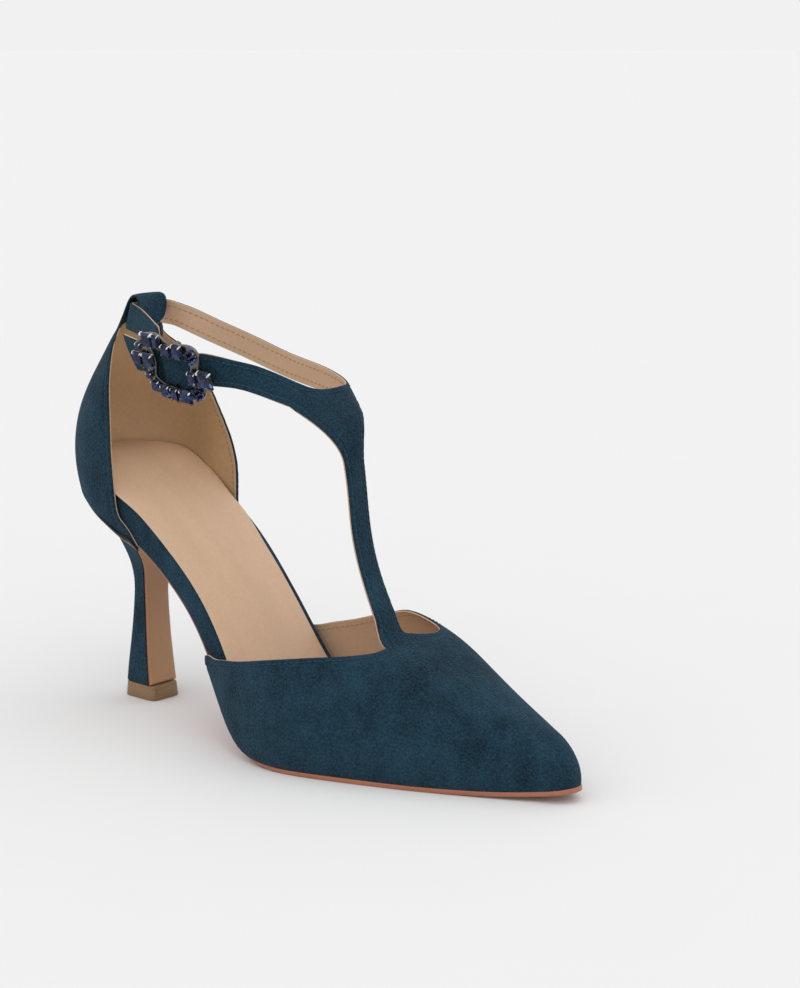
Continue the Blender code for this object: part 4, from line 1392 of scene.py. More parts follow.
@dataclass(frozen=True)
class Strap:
    """Ankle strap: the line of its outer face from the free end round the front and back to the elastic."""

    rows: Table = Table("step x y z lean", (
        (0, 47.0, -33.6, 145.2, -.20), (1, 61.0, -35.4, 143.6, -.36), (2, 75.0, -34.8, 141.8, -.40),
        (3, 90.0, -30.8, 140.9, -.16), (4, 103.0, -23.6, 139.1, .22), (5, 113.2, -12.0, 133.0, .48),
        (6, 117.8, -1.0, 129.6, .58), (7, 118.0, 11.8, 129.6, .62), (8, 110.0, 22.6, 129.5, .42),
        (9, 92.0, 27.8, 132.0, .12), (10, 72.0, 29.5, 135.2, .10), (11, 54.0, 26.5, 141.0, .12),
        (12, 39.0, 20.0, 147.3, .20), (13, 30.2, 13.2, 152.4, .26), (14, 22.6, 9.2, 154.3, .22),
        (15, 20.7, 0.0, 154.2, .20), (16, 22.6, -9.2, 154.2, .22), (17, 32.0, -13.2, 153.0, .26),
        (18, 52.0, -21.6, 148.9, .10)))
    half: float = 4.9
    end: float = 18.0

    def place(self, step: Array) -> Array:
        """Return points of the middle line of the outer face."""
        return np.stack([self.rows.at(name, step) for name in "xyz"], -1)

    def frame(self, step: Array) -> tuple[Array, Array, Array]:
        """Work out place, direction and upward axis of the outer face.

        The upward axis is square to the direction and tips outward by the lean.

        Args:
            step: Steps along the strap.

        Returns:
            The three vectors for each step.
        """
        step = np.asarray(step, float)
        along = unit(self.place(np.minimum(step + 0.01, self.end)) - self.place(np.maximum(step - 0.01, 0)))
        out = unit(np.stack([along[..., 1], -along[..., 0], 0 * step], -1))
        up = np.cross(out, along) - self.rows.at("lean", step)[..., None] * out
        up = unit(up - along * np.sum(up * along, -1)[..., None])
        return self.place(step), along, up


@dataclass(frozen=True)
class Upper:
    """Vamp, T-bar, yoke and ankle strap in one suede skin, with its lining, seams and punched holes."""

    last: Last
    strap: Strap
    vamp: Table = Table("x ridge square bulge drop lift lap", (
        (78, 66.0, 2.60, 0.6, .05, .05, 2.3), (100, 63.0, 2.80, 0.8, .07, .07, 2.0),
        (120, 57.0, 3.00, 1.6, .08, .09, 0.8), (135, 52.0, 3.00, 2.2, .09, .11, 0.2),
        (150, 47.2, 3.00, 2.2, .09, .11, 0.0), (165, 42.4, 2.80, 2.0, .08, .10, 0.0),
        (180, 36.2, 2.60, 1.8, .06, .07, 0.0), (195, 29.4, 2.45, 1.5, .04, .05, 0.0),
        (210, 22.8, 2.30, 1.2, .02, .02, 0.0), (221, 17.2, 2.20, 1.0, .00, .00, 0.0),
        (229.6, 12.2, 2.10, 0.8, .00, .00, 0.0)))
    edge: Table = Table("x angle", (
        (82.3, 0.0), (82.5, 0.7), (88, 5.0), (96, 12.9), (106, 23.9), (118, 34.8), (127, 42.5), (136, 50.5),
        (145, 59.0), (151, 66.5), (154.4, 73.0), (155.4, 79.0), (153.6, 90.6), (156.6, 93.4), (158.5, 98.2),
        (158.6, 104.0), (156.8, 110.0), (152.6, 116.0), (147, 120.5), (140, 125.0), (133, 131.5),
        (127, 138.4), (118, 146.7), (106, 157.3), (96, 167.3), (88, 174.7), (82.5, 178.8), (82.3, 180.0)))
    throat_row: int = 11
    edge_ease: float = 0.7
    bar: Table = Table("z x y half", (
        (55, 148.2, -1.6, 5.4), (68, 141.2, -0.8, 5.0), (84, 135.6, 0.1, 5.0), (100, 132.4, 1.3, 5.0),
        (110, 130.0, 2.2, 5.3)))
    bar_low: float = 55.0
    bar_high: float = 108.0
    yoke: tuple[float, float] = (4.95, 7.45)
    fillet: tuple[float, float] = (5.0, 9.0)
    yoke_swell: float = 1.9
    corner_reach: float = 4.0
    sole_gap: float = -0.35
    suede_thick: float = 0.65
    lining_at: float = 0.72
    lining_thick: float = 0.5
    holes: tuple[float, ...] = (13.0, 38.0, 43.0)
    hole_radius: float = 0.7
    slant: tuple[float, float] = (7.0, 11.5)
    rear_round: tuple[float, float] = (2.8, 6.0)
    rear_taper: float = 0.24
    end_swell: tuple[float, float, float, float] = (55.0, 16.0, 1.25, 0.6)
    window_sag: tuple[float, float, float, float] = (26.8, 9.5, 1.5, 2.8)
    shift_fade: tuple[float, float] = (34.0, 8.0)
    dip: tuple[float, float, float] = (20.8, 2.0, 1.6)
    bar_bow: float = 0.012
    base_pulls: tuple[float, float] = (3.0, 3.5)
    yoke_power: float = 0.7
    yoke_pulls: tuple[float, float, float] = (10.0, 1.3, 3.0)
    swell_power: float = 1.3
    seam: Seam = Seam()

    def vamp_point(self, x: Array, angle: Array) -> Array:
        """Return points of the vamp's outer face.

        Each section is a half superellipse on the sole's outline, swollen above the feather line and
        lowered or lifted to the sides.

        Args:
            x: Places along the last.
            angle: Section angle, 0 at the lateral and pi at the medial sole edge.

        Returns:
            The points.
        """
        last = self.last
        power = 2 / self.vamp.at("square", x)
        toe = np.clip((x - last.toe_x + last.toe_drop) / last.toe_drop, 0, 1)
        middle, half = last.outline(x)
        rise = self.vamp.at("ridge", x) * np.sqrt(1 - toe ** 2) * np.abs(np.sin(angle)) ** power
        swell = self.vamp.at("lap", x) + self.vamp.at("bulge", x) * (1 - np.exp(-rise / 4))
        half = half + swell * np.minimum(half / 6, 1)
        y = middle - half * signed_power(np.cos(angle), power)
        side = (y - middle) / np.maximum(half, 1)
        rise = rise * (1 + np.where(side < 0, self.vamp.at("drop", x), self.vamp.at("lift", x)) * side)
        return np.stack([x, y, last.feather(x) + self.sole_gap + rise], -1)

    @property
    def across(self) -> Array:
        """Places across the strap and the T-bar, closer together towards the edges and the seams."""
        outer = np.array([1.0, 0.97, 0.92, 0.86, 0.79, 0.72, 0.65, 0.58, 0.51, 0.43, 0.34, 0.23, 0.12])
        return np.concatenate([-outer, [0.0], outer[::-1]])

    @property
    def share(self) -> Array:
        """The same places as shares, from the lateral edge (0) to the medial edge (1)."""
        return (self.across + 1) / 2

    def throat(self) -> Array:
        """Return rows of the edge table, place and angle, straight across the foot of the T-bar."""
        first, last = self.edge.rows[self.throat_row:self.throat_row + 2]
        return first * (1 - self.share[:, None]) + last * self.share[:, None]

    def joint(self) -> Array:
        """Return the steps of the strap where the yoke joins it."""
        return self.yoke[0] + (self.yoke[1] - self.yoke[0]) * self.share

    def chain(self, rows: Array, count: int) -> Array:
        """Read stretches of the edge table at equal distances over the vamp.

        The angle to the nearer sole edge is raised to a power before the cubic is read, since near that edge
        the height on the vamp grows faster than the angle.

        Args:
            rows: Rows of the table.
            count: Points wanted.

        Returns:
            Place and angle of each point.
        """
        run = walk(self.vamp_point(rows[:, 0], np.radians(rows[:, 1])))
        side = 180.0 * (rows[:, 1].mean() > 90)
        eased = np.abs(rows[:, 1] - side) ** self.edge_ease
        made = cubic(run, np.stack([rows[:, 0], eased], -1), np.linspace(0, run[-1], count))
        return np.stack([made[:, 0], np.abs(side - np.maximum(made[:, 1], 0) ** (1 / self.edge_ease))], -1)

    def vamp_grid(self) -> tuple[Array, slice]:
        """Lay the vamp between its top edge and the toe.

        The first rows run beside the edge at fixed distances, found from the surface's own measure, and the
        others go on to the toe at constant angle.

        Returns:
            Points by column and row, and the columns where the T-bar grows out.
        """
        lateral = self.chain(self.edge.rows[:self.throat_row + 1], 86)[:-1]
        throat = self.throat()
        medial = self.chain(self.edge.rows[self.throat_row + 1:], 103)[1:]
        columns = np.concatenate([lateral, throat, medial])
        x, angle = columns[:, 0], np.radians(columns[:, 1])
        spots = self.vamp_point(x, angle)
        ahead = (self.vamp_point(x + 0.2, angle) - self.vamp_point(x - 0.2, angle)) / 0.4
        more, less = np.minimum(angle + 0.004, np.pi - 1e-4), np.maximum(angle - 0.004, 1e-4)
        round_ = (self.vamp_point(x, more) - self.vamp_point(x, less)) / (more - less)[:, None]
        tangent = unit(np.gradient(spots, axis=0))
        inward = unit(ahead - tangent * np.sum(ahead * tangent, 1)[:, None])
        aa, ab, bb = (np.sum(p * q, 1) for p, q in ((ahead, ahead), (ahead, round_), (round_, round_)))
        wa, wb = np.sum(ahead * inward, 1), np.sum(round_ * inward, 1)
        over = aa * bb - ab * ab
        step_x, step_a = (wa * bb - wb * ab) / over, (wb * aa - wa * ab) / over
        soft = np.array([0.06, 0.24, 0.4, 0.24, 0.06])
        step_x, step_a = (np.convolve(np.pad(step, 2, mode="edge"), soft, mode="valid")
                          for step in (step_x, step_a))
        beside = np.array([0.0, 0.2, 0.5, 0.9, 1.3, 1.65, 2.0, 2.35, 2.7, 3.1, 3.6, 4.3, 5.2])
        room = 0.6 * np.minimum(angle, np.pi - angle)
        end_a = np.sort(angle + np.clip(beside[-1] * step_a, -room, room))
        end_a = 0.85 * end_a + 0.15 * angle
        band_x = x[:, None] + beside * step_x[:, None]
        band_a = angle[:, None] + (end_a - angle)[:, None] * beside / beside[-1]
        share = 1 - (1 - np.linspace(0, 1, 80)[1:]) ** 1.7
        rest_x = band_x[:, -1:] + (self.last.toe_x - 0.02 - band_x[:, -1:]) * share
        rest_a = np.repeat(band_a[:, -1:], len(share), 1)
        grid = self.vamp_point(np.concatenate([band_x, rest_x], 1), np.concatenate([band_a, rest_a], 1))
        return grid, slice(len(lateral), len(lateral) + len(throat))

    def strap_grid(self) -> tuple[Array, slice, Array]:
        """Lay the strap across its line, with its free end cut at a slant and its holes punched.

        Returns:
            Points by step and place across, the steps of the yoke, and a mask of the faces that stay.
        """
        free = np.linspace(0, self.yoke[0], 131)[:-1]
        joint = self.joint()
        rear = np.linspace(self.yoke[1], self.strap.end, 330)[1:]
        step = np.concatenate([free, joint, rear])
        place, along, up = self.strap.frame(step)
        k, run = self.across, walk(place)
        far, fade, more, shift = self.end_swell
        near = smooth((far - run) / fade)
        half = self.strap.half + more * near
        half -= self.rear_taper * self.strap.half * smooth((step - self.strap.end + 1.5) / 1.5)
        spot, wide, broad, deep = self.window_sag
        window = bell(run, spot, wide, 4)
        half += broad * window
        start, ease = self.shift_fade
        height = shift * near * smooth((run - start) / ease) - deep * window
        grid = place[:, None] + up[:, None] * (half[:, None] * k + height[:, None])[..., None]
        most, fade = self.slant
        cut = (0.9 * k ** 2 - 3.5 * k + 2.6) / 7.0 * most
        grid += along[:, None] * (cut[None] * np.clip(1 - run / fade, 0, 1)[:, None])[..., None]
        most, fade = self.rear_round
        drawn = most * np.abs(k) ** 2.5 * np.clip(1 - (run[-1] - run) / fade, 0, 1)[:, None]
        grid -= along[:, None] * drawn[..., None]
        spot, wide, deep = self.dip
        sunk = deep * bell(run, spot, wide)
        grid -= (np.cross(along, up) * sunk[:, None])[:, None]
        middle = len(k) // 2
        row = np.array([np.abs(run - spot).argmin() for spot in self.holes])
        ring = np.array([(-1, -1), (-1, 0), (-1, 1), (0, 1), (1, 1), (1, 0), (1, -1), (0, -1)])
        at = row[:, None] + ring[:, 0], middle + ring[:, 1][None]
        centre = grid[row, middle][:, None]
        grid[at] = centre + unit(grid[at] - centre) * self.hole_radius
        keep = np.ones((len(grid) - 1, len(k) - 1), bool)
        keep[row[:, None] + np.array([-1, -1, 0, 0]), middle + np.array([-1, 0, -1, 0])] = False
        return grid, slice(len(free), len(free) + len(joint)), keep.reshape(-1)

    def bar_row(self, z: Array) -> Array:
        """Lay rows of points across the T-bar, bowed by a square.

        Args:
            z: Heights of the rows.

        Returns:
            Points by row and place across.
        """
        z = np.atleast_1d(np.asarray(z, float))[:, None]
        wide = self.bar.at("half", z) * self.across
        return np.stack([self.bar.at("x", z) - self.bar_bow * wide ** 2, self.bar.at("y", z) + wide,
                         np.repeat(z, len(self.across), 1)], -1)

    def bar_grid(self, throat: Array, ahead: Array, yoke: Array, along: Array, up: Array) -> Array:
        """Carry the T-bar from the throat to the yoke: a Bezier base, a straight run and a Bezier yoke.

        The yoke swells outward by a half sine up its height, evenly more over to the medial side.

        Args:
            throat: Row of points on the vamp.
            ahead: Directions down the vamp there.
            yoke: Row of points on the strap's lower edge.
            along: The strap's direction there.
            up: The strap's upward axis there.

        Returns:
            Points by row and place across, with both given rows.
        """
        low, high = self.bar_row(self.bar_low)[0], self.bar_row(self.bar_high)[0]
        low_up = self.bar_row(self.bar_low + 1)[0] - low
        high_up = high - self.bar_row(self.bar_high - 1)[0]
        k, share = self.across[:, None], self.share[:, None]
        reach = self.fillet[0] + (self.fillet[1] - self.fillet[0]) * share
        leave, edge, middle = self.yoke_pulls
        aside = along * signed_power(k, self.yoke_power) * reach
        arrive = yoke - aside - up * (edge + (1 - np.abs(k)) * middle)
        start, end = throat - ahead * self.base_pulls[0], low - low_up * self.base_pulls[1]
        base = bezier(throat, start, end, low, np.linspace(0, 1, 20)[:-1])
        run = self.bar_row(np.linspace(self.bar_low, self.bar_high, 56)[:-1])
        climb = np.linspace(0, 1, 34)
        top = bezier(high, high + high_up * leave, arrive, yoke, climb)
        swell = self.yoke_swell * np.sin(np.pi * climb ** self.swell_power)
        top += np.cross(along, up) * share * swell[:, None, None]
        return np.concatenate([base, run, top])

    def skin(self) -> tuple[Skin, Array, Array, Array]:
        """Join the vamp, the T-bar and the strap.

        Returns:
            The skin, a mask of its faces outside the punched holes, its sewn edge from the lateral rear
            corner round to the medial one, and the two corners of the yoke.
        """
        vamp, throat = self.vamp_grid()
        strap, yoke, keep = self.strap_grid()
        _, along, up = self.strap.frame(self.joint())
        first, spots = vamp[throat, 0], self.throat()
        ahead = unit(self.vamp_point(spots[:, 0] + 1.0, np.radians(spots[:, 1])) - first)
        bar = self.bar_grid(first, ahead, strap[yoke, 0], along, up)
        cloth = Skin.from_grid(vamp, flip=True)
        near = np.arange(len(vamp) // 2 - 1)
        far = len(vamp) - 1 - near
        tip = (np.stack([far, far - 1, near + 1, near], -1) + 1) * vamp.shape[1] - 1
        cloth.faces = np.concatenate([cloth.faces, tip])
        stem = Skin.from_grid(bar, flip=True)
        line = np.concatenate([
            vamp[:throat.start, 0], bar[:, 0], strap[:yoke.start, 0][::-1], strap[0, 1:-1], strap[:, -1],
            strap[-1, 1:-1][::-1], strap[yoke.stop:, 0][::-1], bar[::-1, -1], vamp[throat.stop:, 0]])
        whole = Skin.joined([cloth, stem, Skin.from_grid(strap)])
        keep = np.concatenate([np.ones(len(cloth.faces) + len(stem.faces), bool), keep])
        return whole, keep, resample(line, 0.4), strap[[yoke.start, yoke.stop - 1], 0]

    def build(self, bench: Bench) -> None:
        """Make the suede, the punched lining and the stitches of the upper.

        Args:
            bench: Where the pieces are put together.
        """
        base, keep, line, corners = self.skin()
        fade = smooth(nearest(base.points, corners)[1] / self.corner_reach)
        suede = base.raised(self.seam.relief(nearest(base.points, line)[1]) * fade)
        bench.piece("upper_suede", suede, SUEDE, ["upper"], wall=self.suede_thick)
        lining = Skin.joined([Skin(base.points, base.faces[keep])]).raised(-self.lining_at)
        bench.piece("upper_lining", lining, STRAP_LINING, wall=self.lining_thick)
        row = self.seam.path(line, suede)
        bench.piece("upper_stitches", self.seam.stitches(*row), BLUE_THREAD)
        edge = line - base.normals()[nearest(line, base.points)[0]] * (self.lining_at + self.lining_thick)
        row = self.seam.path(edge, lining.inside(self.lining_thick))
        bench.piece("lining_stitches", self.seam.stitches(*row), BROWN_THREAD)


class Cut(Enum):
    """Cuts of the stones: sides of the outline, its squareness, and whether the facets are steps."""

    CUSHION = (16, 3.4, False)
    EMERALD = (8, 7.0, True)
    BAGUETTE = (8, 14.0, True)
    ROUND = (16, 2.0, False)
    OVAL = (16, 2.3, False)
    CLUSTER = (12, 2.0, False)


@dataclass(frozen=True)
class Buckle:
    """Jewelled buckle on the strap: plate and bar, claw settings, cut stones, and the elastic behind it."""

    strap: Strap
    stones: Table = Table("n along across size_a size_b", (
        (0, -7.7, 11.5, 4.7, 5.4), (1, -3.7, 11.2, 2.7, 5.6), (2, 0.1, 8.5, 4.6, 4.8),
        (3, 5.3, 8.9, 4.6, 6.2), (4, -7.7, -7.7, 3.7, 4.5), (5, -3.6, -9.3, 4.0, 5.2),
        (6, 0.5, -10.0, 2.8, 5.0), (7, 5.7, -9.9, 5.4, 5.6), (8, -9.1, 2.4, 4.8, 6.4),
        (9, -13.6, 2.8, 3.8, 5.2), (10, 10.2, -1.4, 3.8, 5.8), (11, 15.9, -0.9, 6.2, 7.2),
        (12, 11.4, 8.0, 4.2, 4.2), (13, 11.6, -7.7, 3.8, 3.8), (14, -12.3, 8.2, 2.8, 2.8),
        (15, -9.8, -3.7, 2.8, 2.8)))
    cuts: tuple[Cut, ...] = (
        Cut.EMERALD, Cut.BAGUETTE, Cut.ROUND, Cut.OVAL, Cut.CUSHION, Cut.CUSHION, Cut.BAGUETTE, Cut.CUSHION,
        Cut.CUSHION, Cut.EMERALD, Cut.CUSHION, Cut.CUSHION, Cut.CLUSTER, Cut.CLUSTER, Cut.ROUND, Cut.ROUND)
    band: tuple[int, ...] = (0, 1, 2, 3, 12, 10, 13, 7, 6, 5, 4, 15, 8, 14)
    band_half: float = 2.0
    band_square: float = 0.4
    step: float = 2.0
    plate_low: float = 0.35
    plate_top: float = 1.8
    stone_low: float = 2.1
    bar_depth: float = -5.2
    bar_radius: float = 0.8
    tape_thick: float = 0.9
    tape_half: float = 4.4
    gap: float = 0.3
    strap_wall: float = 1.6

    def axes(self) -> tuple[Array, Array, Array, Array]:
        """Return the middle of the buckle on the strap and its axes along, across and outward."""
        place, along, up = self.strap.frame(np.array(self.step))
        return place, along, up, np.cross(along, up)

    def carry(self, local: Array) -> Array:
        """Return local points, along, across and outward, as points of the last."""
        place, along, up, out = self.axes()
        return place + local @ np.stack([along, up, out])

    def height(self, number: int) -> float:
        """Return the height of a stone, which grows with its smaller side."""
        return 1.9 + 0.12 * float(self.stones.rows[number, 3:].min())

    def outline(self, number: int, sides: int, turn: float = 0.0, square: Optional[float] = None) -> Array:
        """Return the outline of a stone, a superellipse of its two sizes.

        Args:
            number: The stone.
            sides: Points of the outline.
            turn: Share of a side by which the points are turned.
            square: Exponent, the cut's own one if left out.

        Returns:
            Points along and across the strap, about the stone's middle.
        """
        power = 2 / (square or self.cuts[number].value[1])
        angle = (np.arange(sides) + turn + 0.5) / sides * math.tau
        size = self.stones.rows[number, 3:] / 2
        return signed_power(np.stack([np.cos(angle), np.sin(angle)], -1), power) * size

    def stone(self, number: int) -> tuple[Skin, Array]:
        """Cut a stone: girdle, crown and table as rings that shrink upwards to the middle of the table.

        Step cuts keep the rings in line; the other cuts turn each ring by half a side, which makes kites
        and stars of three-cornered facets. A cluster is seven small stones, one of them in the middle. Each
        facet gets a painted brightness for the light it catches: left to chance, and higher towards the lower
        edge, where light leaves the stone, as a painted glint.

        Args:
            number: The stone.

        Returns:
            The stone, and a painted brightness from 0 to 1 for each facet.
        """
        cut = self.cuts[number]
        sides, _, steps = cut.value
        scale = np.array([0.82, 1.0, 1.0, 0.84, 0.58, 0.04])
        level = self.stone_low + self.height(number) * np.array([0.0, 0.36, 0.46, 0.78, 1.0, 1.03])
        turns = np.zeros(6) if steps else np.array([0.0, 0.0, 0.0, 0.5, 1.0, 1.0])
        rings = np.stack([np.concatenate([self.outline(number, sides, t) * s, np.full((sides, 1), z)], 1)
                          for s, z, t in zip(scale, level, turns)])
        places = np.zeros((1, 2))
        if cut is Cut.CLUSTER:
            turn = np.arange(6) * np.pi / 3 + 0.5
            ring = np.stack([np.cos(turn), 1.35 * np.sin(turn)], -1) * self.stones.rows[number, 3] * 0.42
            places = np.concatenate([places, ring])
            rings[..., :2] *= 0.38
        skin = Skin.piled([Skin.lofted(rings + np.array([*place, 0.0])) for place in places])
        caps = [skin.points[cap].mean(0) for cap in skin.caps]
        middle = np.concatenate([skin.points[skin.faces].mean(1), caps])
        # painted glint: facets towards the stone's lower edge get a higher painted brightness
        glint_side = (0.4 * middle[:, 0] - 0.9 * middle[:, 1]) / self.stones.rows[number, 3:].max()
        chance = np.random.default_rng(40 + number).random(len(middle))
        skin.points = self.carry(skin.points + np.array([*self.stones.rows[number, 1:3], 0.0]))
        return skin, np.clip(0.6 * chance ** 2 + 0.5 * chance * smooth((glint_side - 0.05) / 0.3), 0, 1)

    def plate(self) -> Skin:
        """Lay the plate as a closed band under the stones.

        The band's middle line is a closed cubic through the middles of the stones round the window, and its
        section is a rounded rectangle between the strap and the stones.

        Returns:
            The band.
        """
        ring = self.stones.rows[list(self.band), 1:3]
        knots = np.concatenate([ring[-3:], ring, ring[:4]])
        where = np.linspace(3, 3 + len(ring), 145)
        line = cubic(np.arange(len(knots)), knots, where)
        ahead = unit(np.gradient(cubic(np.arange(len(knots)), knots, np.concatenate(
            [[where[0] - 0.05], where, [where[-1] + 0.05]])), axis=0)[1:-1])
        out = np.stack([-ahead[:, 1], ahead[:, 0]], -1)
        turn = np.linspace(0, math.tau, 16, endpoint=False)
        wide = self.band_half * signed_power(np.cos(turn), self.band_square)
        deep = (self.plate_top - self.plate_low) / 2
        rise = (self.plate_top + self.plate_low) / 2 + deep * signed_power(np.sin(turn), self.band_square)
        flat = line[:, None] + out[:, None] * wide[None, :, None]
        rings = np.concatenate([flat, np.broadcast_to(rise[None, :, None], flat.shape[:2] + (1,))], -1)
        return Skin.joined([Skin.from_grid(self.carry(rings), around=True)])

    def setting(self, number: int) -> Skin:
        """Make the gallery under a stone: a flared wall of the stone's outline, round again on its inside.

        Args:
            number: The stone.

        Returns:
            The closed surface.
        """
        low, top = self.plate_top + 0.02, self.stone_low + self.height(number) * 0.42
        spread = np.array([0.86, 0.92, 1.07, 1.07, 0.99, 0.8])
        level = np.array([low, self.plate_top + 0.5, top - 0.25, top, top, low])
        flat = self.outline(number, 40)
        rings = np.stack([np.concatenate([flat * s, np.full((40, 1), z)], 1) for s, z in zip(spread, level)])
        rings[..., :2] += self.stones.rows[number, 1:3]
        return Skin.lofted(self.carry(rings))

    def claws(self, number: int, upper: bool) -> Skin:
        """Bend two claws over the crown of a stone, each a tapered round wire on a five-point line.

        Args:
            number: The stone.
            upper: Make the two claws at its upper corners, or else the two at its lower ones.

        Returns:
            The two wires.
        """
        high = self.height(number)
        corner = self.outline(number, 4) if self.cuts[number].value[2] else self.outline(number, 4) * 0.99
        reach = np.array([1.03, 1.11, 1.12, 1.02, 0.86])
        level = self.stone_low + high * np.array([0.14, 0.32, 0.54, 0.8, 0.9])
        thick = 0.062 * float(self.stones.rows[number, 3:].min()) * np.array([0.9, 1.0, 1.05, 1.1, 0.75])
        turn = np.linspace(0, math.tau, 7, endpoint=False)
        parts = []
        for spot in corner[(corner[:, 1] > 0) == upper]:
            out = np.array([*unit(spot), 0.0])
            aside = np.cross([0.0, 0.0, 1.0], out)
            line = np.concatenate([spot * reach[:, None], level[:, None]], 1)
            ahead = unit(np.gradient(line, axis=0))
            cross = np.cross(aside, ahead)
            rings = line[:, None] + thick[:, None, None] * (np.cos(turn)[None, :, None] * aside
                                                           + np.sin(turn)[None, :, None] * cross[:, None])
            rings[..., :2] += self.stones.rows[number, 1:3]
            parts.append(Skin.lofted(self.carry(rings), flip=True))
        return Skin.piled(parts)

    def tape(self) -> tuple[Array, Array]:
        """Carry the elastic from the strap's rear end to the buckle's bar, round it and back.

        Returns:
            Points by place along and across, and the map of the tape.
        """
        place, along, up, out = self.axes()
        centre = place + out * self.bar_depth
        reach = self.bar_radius + self.gap + self.tape_thick
        turn = np.linspace(-np.pi / 2, np.pi / 2, 24)[:, None]
        wrap = centre + along * np.cos(turn) * reach + out * np.sin(turn) * reach
        start, ahead, start_up = self.strap.frame(np.array(self.strap.end - 0.3))
        start = start - np.cross(ahead, start_up) * (self.strap_wall + self.gap + 0.6 + self.tape_thick)
        near = wrap[0] - along * 8.0
        share = np.linspace(0, 1, 40)
        run = bezier(start, start + ahead * 7.0, near - along * 4.0, near, share)
        to_bar = near + (wrap[0] - near) * np.linspace(0, 1, 10)[1:-1, None]
        back = wrap[-1] - along * 7.0 * np.linspace(0, 1, 10)[1:, None]
        path = np.concatenate([run, to_bar, wrap, back])
        turned = np.concatenate([share, np.ones(len(path) - len(share))])[:, None]
        side = unit(start_up + (up - start_up) * turned)
        k = np.linspace(1, -1, 15)
        grid = path[:, None] + side[:, None] * self.tape_half * k[None, :, None]
        chart = np.stack(np.broadcast_arrays((walk(path) / 100.0)[:, None], (k * 0.5 + 0.5)[None]), -1)
        return grid, chart

    def build(self, bench: Bench) -> None:
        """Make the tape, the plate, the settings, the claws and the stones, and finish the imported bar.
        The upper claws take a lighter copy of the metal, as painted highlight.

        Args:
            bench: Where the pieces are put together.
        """
        grid, chart = self.tape()
        band = bench.piece("elastic_tape", Skin.from_grid(grid), TAPE, ["elastic"],
                           wall=self.tape_thick)
        layer = band.data.uv_layers.new(name="map")
        corners = np.empty(len(band.data.loops), int)
        band.data.loops.foreach_get("vertex_index", corners)
        layer.data.foreach_set("uv", chart.reshape(-1, 2)[corners].ravel())
        bar = frame["nodes"]["buckle_bar"].data
        bar.materials.clear()
        bar.materials.append(PEWTER.material())
        bench.piece("buckle_band", self.plate(), PEWTER, ["buckle_plate"])
        numbers = range(len(self.stones.rows))
        dark = [self.setting(n) for n in numbers] + [self.claws(n, False) for n in numbers]
        bench.piece("stone_settings", Skin.piled(dark), PEWTER)
        # painted highlight: the upper claws take a lighter copy of the metal, the lower ones the plain pewter
        lit_claws = [self.claws(n, True) for n in numbers]
        bench.piece("stone_claws", Skin.piled(lit_claws), LIT_CLAW)
        for number in numbers:
            skin, tone = self.stone(number)
            node = f"stone_{number + 1:02d}"
            obj = bench.piece(f"cut_{node}", skin, GLASS, [node])
            obj.data.shade_flat()
            # per-facet painted brightness, which the glass finish turns into painted shade, light and glint
            facet = obj.data.attributes.new("facet", "FLOAT", "FACE")
            facet.data.foreach_set("value", tone.astype(np.float32))


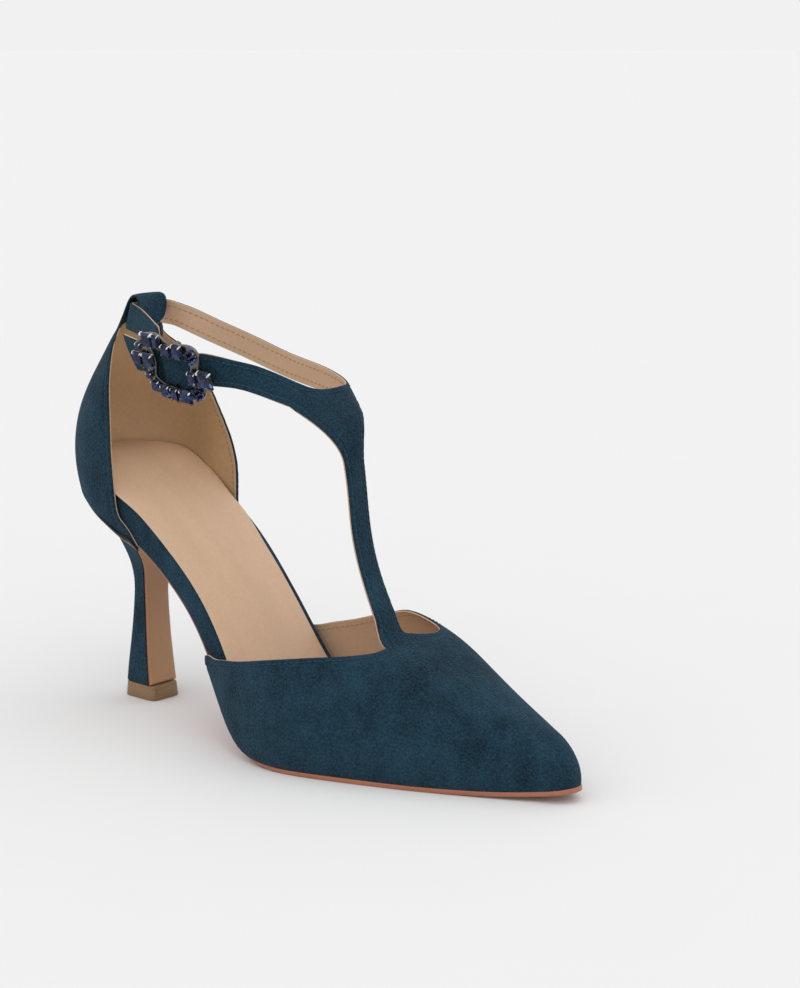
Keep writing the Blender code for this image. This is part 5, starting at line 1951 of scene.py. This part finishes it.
@dataclass(frozen=True)
class Studio:
    """Pale floor, soft light and the camera at the photograph's angle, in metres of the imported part."""

    spot: tuple[float, float, float] = (0.56464, -0.59842, 0.26210)
    right: tuple[float, float, float] = (0.75517, 0.65553, 0.0)
    up: tuple[float, float, float] = (-0.13069, 0.15056, 0.97992)
    back: tuple[float, float, float] = (0.64237, -0.74001, 0.19937)
    lens: float = 83.22
    sensor: float = 36.0
    sky: float = 0.88
    floor_reach: float = 30.0
    lights: tuple[tuple[str, Colour, float, float], ...] = (
        ("key_light", (-0.5, -0.8, 1.1), 50.0, 0.20), ("top_light", (0.4, 0.3, 1.6), 60.0, 0.26),
        ("front_light", (0.7, -0.6, 0.8), 60.0, 0.50))

    def floor(self) -> None:
        """Lay a round floor as rings of points about the middle."""
        turn = np.linspace(0, math.tau, 64, endpoint=False)
        radius = np.array([0.05, 0.5, 2.0, 8.0, self.floor_reach])[:, None]
        grid = np.stack([radius * np.cos(turn), radius * np.sin(turn), np.zeros((5, 64))], -1)
        skin = Skin.from_grid(grid, around=True)
        mesh = bpy.data.meshes.new("floor")
        mesh.from_pydata(skin.points.tolist(), [], skin.faces.tolist() + [list(range(64))])
        mesh.materials.append(FLOOR.material())
        floor = bpy.data.objects.new("floor", mesh)
        bpy.context.scene.collection.objects.link(floor)

    def light(self, name: str, away: tuple[float, float, float], wide: float, power: float) -> None:
        """Hang a far soft light.

        Args:
            name: The light's name.
            away: Direction from the shoe to the light.
            wide: Angle that the light fills, in degrees.
            power: Strength.
        """
        data = bpy.data.lights.new(name, "SUN")
        data.angle, data.energy = math.radians(wide), power
        lamp = bpy.data.objects.new(name, data)
        back = unit(np.array(away))
        aside = unit(np.cross([0.0, 0.0, 1.0], back))
        axes = np.eye(4)
        axes[:3, 0], axes[:3, 1], axes[:3, 2] = aside, np.cross(back, aside), back
        lamp.matrix_world = Matrix(axes.tolist())
        bpy.context.scene.collection.objects.link(lamp)

    def camera(self) -> None:
        """Set up the camera."""
        data = bpy.data.cameras.new("camera")
        data.lens, data.sensor_width = self.lens, self.sensor
        data.clip_start, data.clip_end = 0.01, 100.0
        eye = bpy.data.objects.new("camera", data)
        axes = np.eye(4)
        axes[:3, 0], axes[:3, 1], axes[:3, 2], axes[:3, 3] = self.right, self.up, self.back, self.spot
        eye.matrix_world = Matrix(axes.tolist())
        bpy.context.scene.collection.objects.link(eye)
        bpy.context.scene.camera = eye

    def build(self) -> None:
        """Set up the floor, the light and the camera."""
        scene = bpy.context.scene
        scene.view_settings.view_transform = "Standard"
        scene.world = scene.world or bpy.data.worlds.new("studio")
        scene.world.use_nodes = True
        sky = scene.world.node_tree.nodes["Background"]
        sky.inputs["Color"].default_value = (1.0, 1.0, 1.0, 1.0)
        sky.inputs["Strength"].default_value = self.sky
        self.floor()
        for lamp in self.lights:
            self.light(*lamp)
        self.camera()


def main() -> None:
    """Build the shoe's pieces in the order of making, then the studio."""
    logging.basicConfig(level=logging.INFO, format="%(name)s: %(message)s")
    kept = set(frame["nodes"].values()) | set(frame["bodies"].values())
    for obj in [o for o in bpy.data.objects if o not in kept]:
        bpy.data.objects.remove(obj)
    bench, last, strap = Bench(), Last(), Strap()
    Bottom(last).build(bench)
    Heel(last).build(bench)
    Counter(last).build(bench)
    Upper(last, strap).build(bench)
    Buckle(strap).build(bench)
    Studio().build()


if __name__ == "__main__":
    main()
